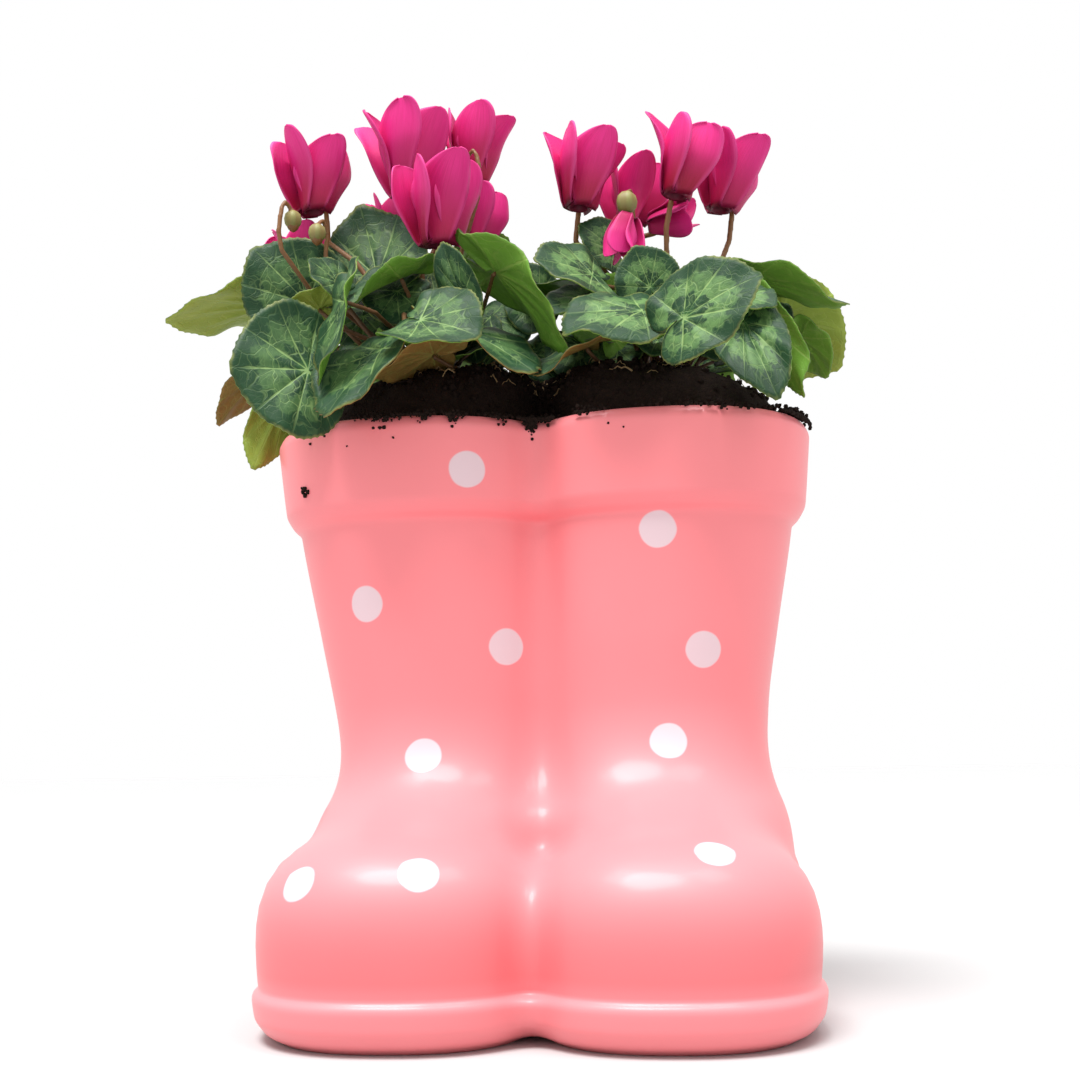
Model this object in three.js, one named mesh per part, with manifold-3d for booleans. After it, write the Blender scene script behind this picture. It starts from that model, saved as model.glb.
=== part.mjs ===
// Two miniature cyclamens planted in one pot that is shaped as a pair of rain boots.
// Millimetres, +Z up, toes towards -Y, origin on the underside between the boots.
import * as THREE from "three";
import { mergeVertices } from "three/addons/utils/BufferGeometryUtils.js";
import Module from "manifold-3d";

const wasm = await Module();
wasm.setup();

// Pot
const RIM_HEIGHT = 232;
const SOLE_HEIGHT = 17.5;
const CUFF_BOTTOM = 193.5;
const CUFF_PROUD = 4.5;
const WALL = 6;
const FLOOR = 8;
const SPOKES = 44;
const ROUNDNESS = 2.25; // exponent of the shafts' rounded section
const PAIR_BLEND = 12; // width of the soft seam between the two boots

// A boot's shaft and heel: height, centre from the middle, centre in depth, half width, half length
const LEFT_SHAFT = [
  [0, 43, 6, 48, 49],
  [20, 43, 6, 48, 49],
  [50, 41, 3, 45, 49],
  [80, 38, 0, 44, 48],
  [118, 40, 0, 48, 46],
  [150, 43, 0, 51, 48],
  [193, 48, 0, 54, 51],
  [232, 50, 0, 56.5, 53],
];
const RIGHT_SHAFT = [
  [0, 43, 6, 50, 49],
  [20, 44, 6, 51, 49],
  [50, 47, 3, 54.5, 50],
  [80, 42, 0, 48, 50],
  [118, 40, 0, 50, 46],
  [150, 43, 0, 51.5, 48],
  [193, 48, 0, 53.5, 51],
  [232, 50, 0, 55, 53],
];

// A boot's rounded toe: centre, half sizes and the exponents of its plan and its crown
const LEFT_TOE = { x: 49, y: -62, z: 26, width: 55, length: 57, height: 49, plan: 2.4, crown: 2.9 };
const RIGHT_TOE = { x: 49, y: -62, z: 26, width: 55, length: 57, height: 48, plan: 2.4, crown: 2.7 };

// Heights where the outside is sampled, and how far it stands proud of the boots' plain form there
const OUTER_LEVELS = [
  [0, -6],
  [3, -1.6],
  [8, 0.8],
  [16, 0.9],
  [SOLE_HEIGHT, 0],
  [SOLE_HEIGHT + 1, -1.8],
  [22.5, -0.6],
  [26, 0],
  [29, 0],
  [32, 0],
  [36, 0],
  [43, 0],
  [56, 0],
  [78, 0],
  [105, 0],
  [135, 0],
  [165, 0],
  [CUFF_BOTTOM - 1, 0],
  [CUFF_BOTTOM + 1.5, 2.5],
  [CUFF_BOTTOM + 6, CUFF_PROUD],
  [RIM_HEIGHT - 4, CUFF_PROUD],
  [RIM_HEIGHT, 2],
];
const INNER_LEVELS = [RIM_HEIGHT, 193, 150, 115, 82, 48, 26, FLOOR];
const WAIST = 16; // least reach of the inside from the middle, where the boots join

// Slope of the sampling rays over the feet: height at the middle, rise per millimetre outwards
const FOOT_RAYS = [
  [0, 0],
  [20, 0],
  [24, 0.2],
  [27, 0.4],
  [30, 0.6],
  [34, 0.8],
  [40, 0.95],
  [50, 1],
  [62, 0.92],
  [80, 0.72],
  [100, 0.46],
  [120, 0.22],
  [145, 0],
  [240, 0],
];

// Soil: a root ball stands out of each boot
const FIT_GAP = 0.6;
const WAIST_DRAWN_IN = 0.65; // share of the narrow waist that the soil reaches between the boots
const SOIL_EDGE = 229;
const ROOT_BALL_RISE = 27;
const ROOT_BALL = { x: 50, y: 0 };
const ROOT_BALLS_DIP = { share: 0.3, width: 17 }; // the top is lower where the two root balls meet
const SOIL_RINGS = [0.35, 0.6, 0.8, 0.93];

// Tuber: half profile (radius, height) of the corky disc that leaves and flowers grow from
const TUBER_PROFILE = [
  [0, -8],
  [12, -6],
  [18, 0],
  [14, 6],
  [0, 8.5],
];
const TUBER_HEIGHT = 252;
const TUBER_SIDES = 12;
const POCKET_PROFILE = [
  [0, -8.5],
  [12.2, -6.5],
  [18.6, 0],
  [19.5, 14],
  [0, 14],
];
const CROWN_SPACING = 2.35; // millimetres of spiral radius per root of the stalk's number

// Stalks and blades
const STALK_SIDES = 5;
const LEAF_STALK_STEPS = 4;
const BLOOM_STALK_STEPS = 10;
const STALK_RADIUS = 1.2;
const STALK_TRIES = 400;
const WIDEST_BOW = 50;
const BLADE = 0.7;
const TOUCH = 0.3;
const LEAST_DETAIL = 0.18;
const LEAF_SPOKES = 16;
const LEAF_TOOTH = 0.02;
const LEAF_WAVE = 0.035;

// A blade or bloom that would touch another is set back or forward along its plant's line
const STEP_BACK = {
  left: new THREE.Vector3(-0.2, 0.94, 0.27),
  right: new THREE.Vector3(0.02, 0.96, 0.28),
};
const BACK_STEP = 1.2;
const MOST_BACK_STEPS = 26;
const MIDDLE_DEPTH = 12;
const LIFTS = [0, 2.5, -2.5, 5, -5, 8];

// Radius of a leaf's outline about its stalk: degrees from the tip, share of the length
const LEAF_OUTLINE = [
  [0, 1],
  [12, 0.93],
  [30, 0.87],
  [50, 0.82],
  [75, 0.76],
  [100, 0.69],
  [125, 0.61],
  [148, 0.49],
  [166, 0.32],
  [180, 0.07],
];

// Leaves: name, stalk end, tip, facing, width, cup of the left and of the right half, droop
const LEAVES = [
  ["left_leaf_01", [-99, -5, 293], [-120, -12, 315], [-0.25, -0.85, 0.45], 1.0, 0.2, 0.2, 0.3],
  ["left_leaf_02", [-114, -8, 292], [-154, -26, 281], [0.05, 0.3, 0.95], 0.6, 0.3, 0.3, 0.3],
  ["left_leaf_03", [-89, -45, 254], [-116, -60, 252], [-0.4, -0.9, 0.15], 1.25, -0.3, 0.5, 0.1],
  ["left_leaf_04", [-118, 4, 268], [-144, 8, 246], [-0.6, 0.5, 0.6], 0.42, 0.3, 0.3, 0.5],
  ["left_leaf_05", [-107, -8, 254], [-122, -14, 221], [-0.6, 0.7, 0.1], 0.45, 0.4, 0.4, 0.3],
  ["left_leaf_06", [-69, -8, 303], [-78, 2, 338], [-0.1, -0.9, 0.35], 0.85, 0.3, 0.3, -0.5],
  ["left_leaf_07", [-84, -12, 293], [-95, -18, 301], [-0.2, -0.7, 0.7], 1.0, 0.2, 0.2, 0.2],
  ["left_leaf_08", [-57, -18, 298], [-81, -30, 280], [-0.2, -0.45, 0.85], 0.8, 1.9, 0.6, 0.3],
  ["left_leaf_09", [-66, -22, 291], [-86, -34, 287], [-0.1, -0.8, 0.6], 0.95, 0.2, 0.2, 0.3],
  ["left_leaf_10", [-88, -30, 283], [-104, -37, 277], [0, 0.4, 0.9], 0.9, 0.2, 0.2, 0.3],
  ["left_leaf_11", [-77, -32, 284], [-85, -44, 249], [-0.8, -0.5, -0.1], 0.6, 0.7, 0.9, -0.2],
  ["left_leaf_12", [-62, -33, 267], [-77, -60, 234], [-0.55, -0.7, 0.4], 0.7, 0.2, 1.1, 0.3],
  ["left_leaf_13", [-40, -40, 262], [-60, -58, 250], [0.05, 0.4, 0.9], 0.7, -0.2, -0.2, 0.4],
  ["left_leaf_14", [-45, -46, 271], [-21, -58, 261], [0.1, -0.88, 0.45], 0.95, 0.2, 1.1, 0.3],
  ["left_leaf_15", [-28, -40, 277], [-36, -43, 299], [-0.3, -0.92, -0.1], 0.5, 0.5, 0.5, 0.2],
  ["left_leaf_16", [-28, -38, 269], [1, -58, 244], [0.35, -0.35, 0.87], 0.75, 0.3, 1.1, 0.3],
  ["left_leaf_17", [-18, -21, 297], [10, -36, 259], [0.55, 0.35, 0.75], 0.5, 0.5, 0.7, 0.5],
  ["left_leaf_18", [-38, 14, 312], [-15, 18, 326], [0.1, 0.3, 0.95], 0.6, 0.3, 0.3, 0.3],
  ["left_leaf_19", [-72, 28, 300], [-95, 48, 310], [-0.3, 0.5, 0.8], 0.9, 0.2, 0.2, 0.4],
  ["left_leaf_20", [-46, 34, 296], [-42, 66, 290], [0.1, 0.6, 0.8], 0.95, 0.2, 0.2, 0.4],
  ["left_leaf_21", [-84, 36, 270], [-105, 54, 252], [-0.5, 0.5, 0.7], 0.95, 0.2, 0.2, 0.4],
  ["left_leaf_22", [-54, 38, 270], [-56, 66, 244], [0, 0.8, 0.6], 0.9, 0.2, 0.2, 0.4],
  ["right_leaf_01", [23, -22, 294], [1, -36, 297], [-0.25, -0.8, 0.55], 1.0, 0.2, 0.2, 0.3],
  ["right_leaf_02", [31, -8, 309], [17, -12, 320], [0.1, -0.85, 0.5], 0.95, 0.3, 0.3, 0.2],
  ["right_leaf_03", [38, 32, 294], [24, 62, 288], [-0.2, 0.6, 0.8], 0.95, 0.2, 0.2, 0.4],
  ["right_leaf_04", [-2, 10, 297], [-9, 10, 312], [-0.3, -0.9, 0.2], 0.8, 0.3, 0.3, 0.2],
  ["right_leaf_05", [13, -8, 291], [-7, -28, 289], [0, 0.1, 0.99], 0.8, -0.2, -0.2, 0.3],
  ["right_leaf_06", [24, -36, 279], [4, -44, 275], [-0.2, -0.75, 0.65], 0.9, 0.3, 0.3, 0.2],
  ["right_leaf_07", [27, -42, 263], [38, -38, 287], [-0.3, 0.9, 0.3], 1.0, 0.3, 0.3, 0.3],
  ["right_leaf_08", [43, -56, 268], [14, -73, 256], [-0.05, -0.6, 0.8], 0.85, -0.6, 0.4, 0.3],
  ["right_leaf_09", [54, -48, 266], [42, -62, 257], [0.2, 0.5, 0.8], 0.85, 0.3, 0.3, 0.2],
  ["right_leaf_10", [46, -40, 280], [40, -42, 296], [-0.1, -0.93, 0.25], 1.05, 0.3, 0.3, 0.2],
  ["right_leaf_11", [59, -54, 265], [87, -62, 278], [0.1, -0.9, 0.45], 0.85, 0.2, 0.2, 0.3],
  ["right_leaf_12", [81, -34, 278], [94, -40, 273], [0.3, -0.8, 0.55], 0.95, 0.2, 0.2, 0.2],
  ["right_leaf_13", [87, -22, 289], [122, -36, 272], [0.2, 0.15, 0.97], 0.55, 0.7, 0.3, 0.3],
  ["right_leaf_14", [98, 0, 280], [124, 8, 259], [0.45, 0.85, 0.3], 0.85, 0.2, 0.2, 0.3],
  ["right_leaf_15", [92, -4, 278], [102, 0, 288], [0, -0.9, 0.3], 0.9, 0.2, 0.2, 0.2],
  ["right_leaf_16", [81, -52, 263], [92, -74, 228], [-0.1, -0.88, 0.3], 0.45, 0.6, 0.6, 0.3],
  ["right_leaf_17", [86, -36, 272], [105, -42, 236], [0.65, 0.55, 0.45], 0.45, 0.3, 0.5, 0.3],
  ["right_leaf_18", [106, -12, 268], [117, -6, 252], [0.75, 0.55, 0.35], 0.8, 0.2, 0.2, 0.2],
  ["right_leaf_19", [80, 30, 284], [104, 50, 272], [0.4, 0.5, 0.8], 0.9, 0.2, 0.2, 0.4],
  ["right_leaf_20", [56, 40, 266], [60, 68, 244], [0.1, 0.8, 0.6], 0.95, 0.2, 0.2, 0.4],
  ["right_leaf_21", [20, -28, 263], [2, -48, 248], [-0.4, -0.25, 0.88], 0.9, 0.2, 0.6, 0.2],
];

// Petal: share of the length, distance from the bloom's axis, height, half width
const PETAL_ROWS = [
  [0, 4.4, 2.2, 2.3],
  [0.06, 6.6, -0.4, 2.8],
  [0.16, 8.0, 4, 5.0],
  [0.36, 9.2, 12.5, 8.6],
  [0.6, 10.4, 22, 11.5],
  [0.8, 11.6, 30, 11.5],
  [0.93, 12.4, 35, 9.0],
  [1, 13, 37.5, 4.6],
];
const PETAL_STATIONS = [0, 0.14, 0.45, 0.8, 1];
const PETAL_HEADINGS = [58, 119, 180, 241, 302]; // degrees from the stalk, which passes in the widest gap
const PETAL_SPAN = 37.5;
const PETAL_TWIST = 0.3;

// Blooms: name, mouth, top, heading of the stalk in degrees, how far the petals flare
const BLOOMS = [
  ["left_bloom_1", [-95, -12, 330], [-97, -12, 362], 60, 0.5],
  ["left_bloom_2", [-104, 6, 303], [-107, 6, 330], 100, 0.4],
  ["left_bloom_3", [-56, -6, 338], [-57, -8, 375], 80, 0.45],
  ["left_bloom_4", [-31, 14, 349], [-30, 14, 382], 90, 0.35],
  ["left_bloom_5", [-39, -32, 306], [-39, -36, 342], 110, 0.3],
  ["left_bloom_6", [-28, 0, 316], [-27, 2, 342], 90, 0.3],
  ["left_bloom_7", [-67, 16, 318], [-65, 18, 346], 90, 0.3],
  ["right_bloom_1", [17, -12, 326], [20, -12, 359], 110, 0.45],
  ["right_bloom_2", [37, 6, 324], [39, 8, 354], 90, 0.5],
  ["right_bloom_3", [37, -22, 318], [35, -24, 299], 90, 0],
  ["right_bloom_4", [57, -14, 328], [63, -14, 360], 120, 0.35],
  ["right_bloom_5", [76, -6, 326], [81, -6, 358], 60, 0.5],
  ["right_bloom_6", [46, 4, 326], [66, -2, 328], 90, 0.4],
];
const THROAT_PROFILE = [
  [0, 1.5],
  [4.4, 0],
  [5.6, 0.6],
  [3, 7.5],
  [0, 8],
];
const THROAT_SIDES = 8;

// Buds still closed: stalk's plant, centre of the bud, heading of its hook in degrees
const BUDS = [
  ["left", [-98, -34, 319], 200],
  ["left", [-88, -34, 313], 30],
  ["left", [-30, -12, 346], 20],
];
const HANGING_CALYX = 5.5;

// Hooks at the ends of flower stalks: distance from the axis and height above the mouth or the bud
const PETAL_SLOT = -0.22; // turn of the open place between the two petals beside the stalk
const HOOK = [
  [8.4, -14],
  [8.2, -3],
  [7.2, 7],
  [4.5, 11.5],
  [1.2, 12.5],
  [0, 9.5],
];
const BUD_HOOK = [
  [6, -14],
  [6.5, 0],
  [4, 6.5],
  [0, 3],
];
const CALYX_PROFILE = [
  [0, 8.8],
  [3, 8.8],
  [2.4, 10.5],
  [0, 12.5],
];
const BUD_PROFILE = [
  [0, -5.5],
  [2.4, -3.5],
  [3, 0],
  [2.1, 3.2],
  [0, 4.6],
];

// Value rows read as one smooth curve: the first column is the position
function readRows(rows, position) {
  const at = THREE.MathUtils.clamp(position, rows[0][0], rows[rows.length - 1][0]);
  let i = 0;
  while (i < rows.length - 2 && rows[i + 1][0] <= at) i += 1;
  const a = rows[i];
  const b = rows[i + 1];
  const before = rows[Math.max(i - 1, 0)];
  const after = rows[Math.min(i + 2, rows.length - 1)];
  const step = b[0] - a[0];
  const u = (at - a[0]) / step;
  const values = [];
  for (let k = 1; k < a.length; k += 1) {
    const slopeA = ((b[k] - before[k]) / (b[0] - before[0])) * step;
    const slopeB = ((after[k] - a[k]) / (after[0] - a[0])) * step;
    const cubic =
      (2 * u ** 3 - 3 * u ** 2 + 1) * a[k] +
      (u ** 3 - 2 * u ** 2 + u) * slopeA +
      (3 * u ** 2 - 2 * u ** 3) * b[k] +
      (u ** 3 - u ** 2) * slopeB;
    values.push(cubic);
  }
  return values;
}

// Straight-line reading of two-column rows
function readLine(rows, position) {
  let i = 0;
  while (i < rows.length - 2 && rows[i + 1][0] <= position) i += 1;
  const share = THREE.MathUtils.clamp((position - rows[i][0]) / (rows[i + 1][0] - rows[i][0]), 0, 1);
  return THREE.MathUtils.lerp(rows[i][1], rows[i + 1][1], share);
}

function softMinimum(a, b, width) {
  const h = Math.max(width - Math.abs(a - b), 0) / width;
  return Math.min(a, b) - (h * h * width) / 4;
}

// Signed distance, nearly, to one boot: negative inside
function bootField(x, y, z, shaft, toe) {
  const [centreX, centreY, width, length] = readRows(shaft, z);
  const plan =
    (Math.abs((x - centreX) / width) ** ROUNDNESS + Math.abs((y - centreY) / length) ** ROUNDNESS) **
    (1 / ROUNDNESS);
  const shaftField = (plan - 1) * Math.min(width, length);
  const low = THREE.MathUtils.clamp((toe.z - z) / toe.z, 0, 1);
  const tuck = 1 - 0.05 * low * low;
  const toePlan =
    (Math.abs((x - toe.x) / (toe.width * tuck)) ** toe.plan +
      Math.abs((y - toe.y) / (toe.length * tuck)) ** toe.plan) **
    (1 / toe.plan);
  const rise = Math.max(z - toe.z, 0) / toe.height;
  const toeField = ((toePlan ** toe.crown + rise ** toe.crown) ** (1 / toe.crown) - 1) * toe.height;
  return softMinimum(shaftField, toeField, 12 + 36 * THREE.MathUtils.smoothstep(z, 48, 82));
}

function potField(x, y, z) {
  const left = bootField(-x, y, z, LEFT_SHAFT, LEFT_TOE);
  const right = bootField(x, y, z, RIGHT_SHAFT, RIGHT_TOE);
  return softMinimum(left, right, PAIR_BLEND);
}

// Point of the boots' surface on a ray from the middle at a height, offset outwards by proud.
// A tilt of 1 turns the rays up over the feet, and with 0 they stay level.
function surfacePoint(angle, height, proud, tilt) {
  const front = tilt * THREE.MathUtils.smoothstep(-Math.sin(angle), 0, 0.75);
  const slope = front * readLine(FOOT_RAYS, height);
  const middleY = -10 * THREE.MathUtils.clamp((150 - height) / 60, 0, 1);
  const place = (r) => new THREE.Vector3(Math.cos(angle) * r, middleY + Math.sin(angle) * r, height + slope * r);
  const value = (r) => {
    const p = place(r);
    return potField(p.x, p.y, p.z) - proud;
  };
  let outside = 170;
  while (outside > 6 && value(outside - 2) > 0) outside -= 2;
  let inside = outside - 2;
  for (let i = 0; i < 24; i += 1) {
    const middle = (outside + inside) / 2;
    if (value(middle) > 0) outside = middle;
    else inside = middle;
  }
  return place(inside);
}

function spokes() {
  return Array.from({ length: SPOKES }, (_, i) => (i / SPOKES) * 2 * Math.PI);
}

function outerRing(height, proud) {
  return spokes().map((angle) => surfacePoint(angle, height, proud, 1));
}

function innerRing(height) {
  return spokes().map((angle) => {
    const point = surfacePoint(angle, height, -WALL, 0);
    const reach = Math.hypot(point.x, point.y);
    if (reach < WAIST) point.set(WAIST * Math.cos(angle), WAIST * Math.sin(angle), height);
    return point;
  });
}

function geometryOf(points, faces) {
  const geometry = new THREE.BufferGeometry().setFromPoints(points);
  geometry.setIndex(faces.flat());
  return geometry;
}

// Closed skin over rings of the same number of points, with a middle point at each end.
// Each four-sided face is split along its shorter diagonal, measured on the like rings.
function skinOf(rings, startPoint, endPoint, like = rings) {
  const count = rings[0].length;
  const points = rings.flat();
  const start = points.length;
  const end = start + 1;
  points.push(startPoint, endPoint);
  const faces = [];
  for (let i = 0; i < rings.length - 1; i += 1) {
    for (let j = 0; j < count; j += 1) {
      const a = i * count + j;
      const b = i * count + ((j + 1) % count);
      const next = (j + 1) % count;
      const rising = like[i][j].distanceTo(like[i + 1][next]);
      const falling = like[i][next].distanceTo(like[i + 1][j]);
      if (rising < 1.03 * falling) faces.push([a, b, b + count], [a, b + count, a + count]);
      else faces.push([a, b, a + count], [b, b + count, a + count]);
    }
  }
  const last = (rings.length - 1) * count;
  for (let j = 0; j < count; j += 1) {
    const next = (j + 1) % count;
    faces.push([start, next, j], [end, last + j, last + next]);
  }
  return geometryOf(points, faces);
}

// The same skin with its faces turned the other way
function turnedRound(geometry) {
  const index = geometry.index.array;
  for (let i = 0; i < index.length; i += 3) [index[i + 1], index[i + 2]] = [index[i + 2], index[i + 1]];
  return geometry;
}

function solidOf(geometry) {
  const plain = geometry.clone();
  plain.deleteAttribute("normal");
  plain.deleteAttribute("uv");
  const merged = mergeVertices(plain, 1e-4);
  return new wasm.Manifold(
    new wasm.Mesh({
      numProp: 3,
      vertProperties: merged.attributes.position.array,
      triVerts: new Uint32Array(merged.index.array),
    }),
  );
}

function geometryFrom(solid) {
  const mesh = solid.getMesh();
  const geometry = new THREE.BufferGeometry();
  geometry.setAttribute("position", new THREE.BufferAttribute(mesh.vertProperties, 3));
  geometry.setIndex(new THREE.BufferAttribute(mesh.triVerts, 1));
  return geometry;
}

// One solid of several, without the slivers that crossing pieces leave
function fused(solids) {
  return solids.reduce((whole, piece) => whole.add(piece)).asOriginal().simplify(LEAST_DETAIL);
}

function joined(geometries) {
  return geometryFrom(fused(geometries.map(solidOf)));
}

// Turned profile with +Z as its axis
function turned(profile, sides) {
  const outline = profile.map(([r, z]) => new THREE.Vector2(r, z));
  return new THREE.LatheGeometry(outline, sides).rotateX(Math.PI / 2);
}

function makePot() {
  const outer = OUTER_LEVELS.map(([height, proud]) => outerRing(height, proud));
  const inner = INNER_LEVELS.map(innerRing);
  const under = new THREE.Vector3(0, -10, 0);
  const floor = new THREE.Vector3(0, -10, FLOOR);
  return skinOf([...outer, ...inner], under, floor);
}

// Height of the soil at a share of the way from the middle to the rim: rounded root balls that
// rise from the rim's whole inside edge, with an uneven crumbly top
function soilHeight(x, y, share) {
  const dip = 1 - ROOT_BALLS_DIP.share * Math.exp(-((x / ROOT_BALLS_DIP.width) ** 2));
  const dome = ROOT_BALL_RISE * (1 - share ** 2.8) ** 0.6 * dip;
  const uneven = Math.sin(x * 0.35 + 1.3) * Math.cos(y * 0.31) + 0.7 * Math.sin(x * 0.13 - y * 0.17);
  return SOIL_EDGE + dome + uneven * Math.min(dome / 6, 1);
}

// Rings of the pot's inside drawn in by the fit gap, from the rim down
function soilSideRings() {
  const rings = INNER_LEVELS.map(innerRing);
  const under = new THREE.Vector3(0, -10, FLOOR);
  const above = new THREE.Vector3(0, -10, RIM_HEIGHT);
  const skin = turnedRound(skinOf(rings, above, under));
  skin.computeVertexNormals();
  const { position, normal } = skin.attributes;
  const drawnIn = rings.map((ring, i) =>
    ring.map((_, j) => {
      const point = new THREE.Vector3().fromBufferAttribute(position, i * SPOKES + j);
      const inwards = new THREE.Vector3().fromBufferAttribute(normal, i * SPOKES + j);
      point.addScaledVector(inwards, -FIT_GAP);
      if (Math.hypot(point.x, point.y) > WAIST) return point;
      point.x *= WAIST_DRAWN_IN;
      point.y *= WAIST_DRAWN_IN;
      return point;
    }),
  );
  const [rim, below] = drawnIn;
  const share = (SOIL_EDGE - below[0].z) / (RIM_HEIGHT - below[0].z);
  drawnIn[0] = rim.map((point, j) => {
    const edge = below[j].clone().lerp(point, share);
    edge.z = SOIL_EDGE;
    return edge;
  });
  return drawnIn;
}

function makeSoil() {
  const sides = soilSideRings();
  const top = SOIL_RINGS.map((share) =>
    sides[0].map((point) => {
      const x = point.x * share;
      const y = point.y * share;
      return new THREE.Vector3(x, y, soilHeight(x, y, share));
    }),
  );
  const under = new THREE.Vector3(0, -10, sides[sides.length - 1][0].z);
  const middle = new THREE.Vector3(0, 0, soilHeight(0, 0, 0));
  const like = [...top, ...INNER_LEVELS.map(innerRing)];
  let solid = solidOf(turnedRound(skinOf([...top, ...sides], middle, under, like)));
  for (const side of [-1, 1]) {
    const pocket = turned(POCKET_PROFILE, TUBER_SIDES);
    pocket.translate(side * ROOT_BALL.x, ROOT_BALL.y, TUBER_HEIGHT);
    solid = solid.subtract(solidOf(pocket));
  }
  return geometryFrom(solid);
}

// Frame of a leaf at its stalk: direction of the midrib, left side, face and full length
function leafFrame(at, tip, face, droop) {
  const chord = new THREE.Vector3(...tip).sub(new THREE.Vector3(...at));
  const span = chord.length();
  chord.normalize();
  const normal = new THREE.Vector3(...face);
  normal.addScaledVector(chord, -normal.dot(chord)).normalize();
  const half = droop / 2;
  const along = chord.clone().multiplyScalar(Math.cos(half)).addScaledVector(normal, Math.sin(half));
  const up = normal.multiplyScalar(Math.cos(half)).addScaledVector(chord, -Math.sin(half));
  const side = new THREE.Vector3().crossVectors(up, along);
  return { along, side, up, length: (span * half) / Math.sin(half) };
}

// Point in the middle of a blade: share from the stalk to the edge, angle round from the tip
function leafPoint(leaf, frame, share, angle, tooth, phase) {
  const [, at, , , width, leftCup, rightCup, droop] = leaf;
  const { along, side, up, length } = frame;
  const radius = readRows(LEAF_OUTLINE, THREE.MathUtils.radToDeg(Math.abs(angle)))[0] * (1 + tooth);
  const x = share * radius * Math.cos(angle);
  const y = share * radius * Math.sin(angle) * width;
  const cup = y > 0 ? leftCup : rightCup;
  const turn = droop * x;
  const forward = (length / droop) * Math.sin(turn);
  const down = (length / droop) * (1 - Math.cos(turn));
  const sideways = ((Math.sign(y) * length) / cup) * Math.sin(cup * Math.abs(y));
  const wave = LEAF_WAVE * length * share ** 2.5 * Math.sin(5 * angle + phase);
  const lift = (length / cup) * (1 - Math.cos(cup * Math.abs(y))) + wave;
  return new THREE.Vector3(...at)
    .addScaledVector(along, forward + lift * Math.sin(turn))
    .addScaledVector(side, sideways)
    .addScaledVector(up, lift * Math.cos(turn) - down);
}

// Sheet of even thickness on both sides of a triangle mesh, closed round its edge
function thickened(points, faces, edge, thickness) {
  const middle = geometryOf(points, faces);
  middle.computeVertexNormals();
  const normals = middle.attributes.normal;
  const shifted = (amount) =>
    points.map((p, i) => new THREE.Vector3().fromBufferAttribute(normals, i).multiplyScalar(amount).add(p));
  const count = points.length;
  const both = [...shifted(thickness / 2), ...shifted(-thickness / 2)];
  const skin = faces.flatMap(([a, b, c]) => [
    [a, b, c],
    [c + count, b + count, a + count],
  ]);
  edge.forEach((a, i) => {
    const b = edge[(i + 1) % edge.length];
    skin.push([a, a + count, b + count], [a, b + count, b]);
  });
  return geometryOf(both, skin);
}

function makeLeaf(leaf, index) {
  const [, at, tip, face, , , , droop] = leaf;
  const frame = leafFrame(at, tip, face, droop);
  const phase = index * 1.3;
  const turn = (2 * Math.PI) / LEAF_SPOKES;
  const inner = LEAF_SPOKES / 2;
  const points = [new THREE.Vector3(...at)];
  for (let j = 0; j < inner; j += 1) {
    points.push(leafPoint(leaf, frame, 0.55, (2 * j + 1) * turn - Math.PI, 0, phase));
  }
  for (let j = 0; j < LEAF_SPOKES; j += 1) {
    const tooth = j % 2 ? LEAF_TOOTH : -LEAF_TOOTH;
    points.push(leafPoint(leaf, frame, 1, j * turn - Math.PI, tooth, phase));
  }
  const edge = (k) => 1 + inner + (k % LEAF_SPOKES);
  const faces = [];
  for (let j = 0; j < inner; j += 1) {
    const a = 1 + j;
    const b = 1 + ((j + 1) % inner);
    faces.push([a, edge(2 * j), edge(2 * j + 1)]);
    faces.push([a, edge(2 * j + 1), edge(2 * j + 2)]);
    if (j < inner - 1) faces.push([0, a, b], [a, edge(2 * j + 2), b]);
    else faces.push([0, a, edge(0)], [0, edge(0), b]);
  }
  const rim = Array.from({ length: LEAF_SPOKES }, (_, k) => edge(k));
  return thickened(points, faces, rim, BLADE);
}

// Axes of a bloom: up from its mouth, and two directions square to it
function bloomFrame(mouth, top) {
  const base = new THREE.Vector3(...mouth);
  const up = new THREE.Vector3(...top).sub(base);
  const size = up.length() / PETAL_SPAN;
  up.normalize();
  const helper = Math.abs(up.z) < 0.5 ? new THREE.Vector3(0, 0, 1) : new THREE.Vector3(0, 1, 0);
  const first = new THREE.Vector3();
  if (Math.abs(up.z) < 0.5) first.crossVectors(up, helper).normalize();
  else first.crossVectors(helper, up).normalize();
  const second = new THREE.Vector3().crossVectors(up, first);
  return { base, up, first, second, size };
}

// Draws of 0 to 1 that are the same on every run
function seededDraws(seed) {
  let state = seed * 7919 + 17;
  return () => {
    state = (state * 16807) % 2147483647;
    return (state % 10000) / 10000;
  };
}

function petalPoint(frame, heading, flare, length, share, across) {
  const [distance, height, halfWidth] = readRows(PETAL_ROWS, share);
  const turn = heading + PETAL_TWIST * share;
  const out = frame.first.clone().multiplyScalar(Math.cos(turn)).addScaledVector(frame.second, Math.sin(turn));
  const round = frame.second.clone().multiplyScalar(Math.cos(turn)).addScaledVector(frame.first, -Math.sin(turn));
  const lateral = across * halfWidth;
  const lean = 0.45 + 0.3 * share;
  const spread = distance + flare * 16 * Math.max(share - 0.12, 0) ** 1.6;
  const cupped = -0.028 * lateral ** 2;
  return frame.base
    .clone()
    .addScaledVector(frame.up, frame.size * height * (1 - 0.12 * flare * share) * length)
    .addScaledVector(out, frame.size * (spread + cupped + lateral * Math.sin(lean)))
    .addScaledVector(round, frame.size * lateral * Math.cos(lean));
}

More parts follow.
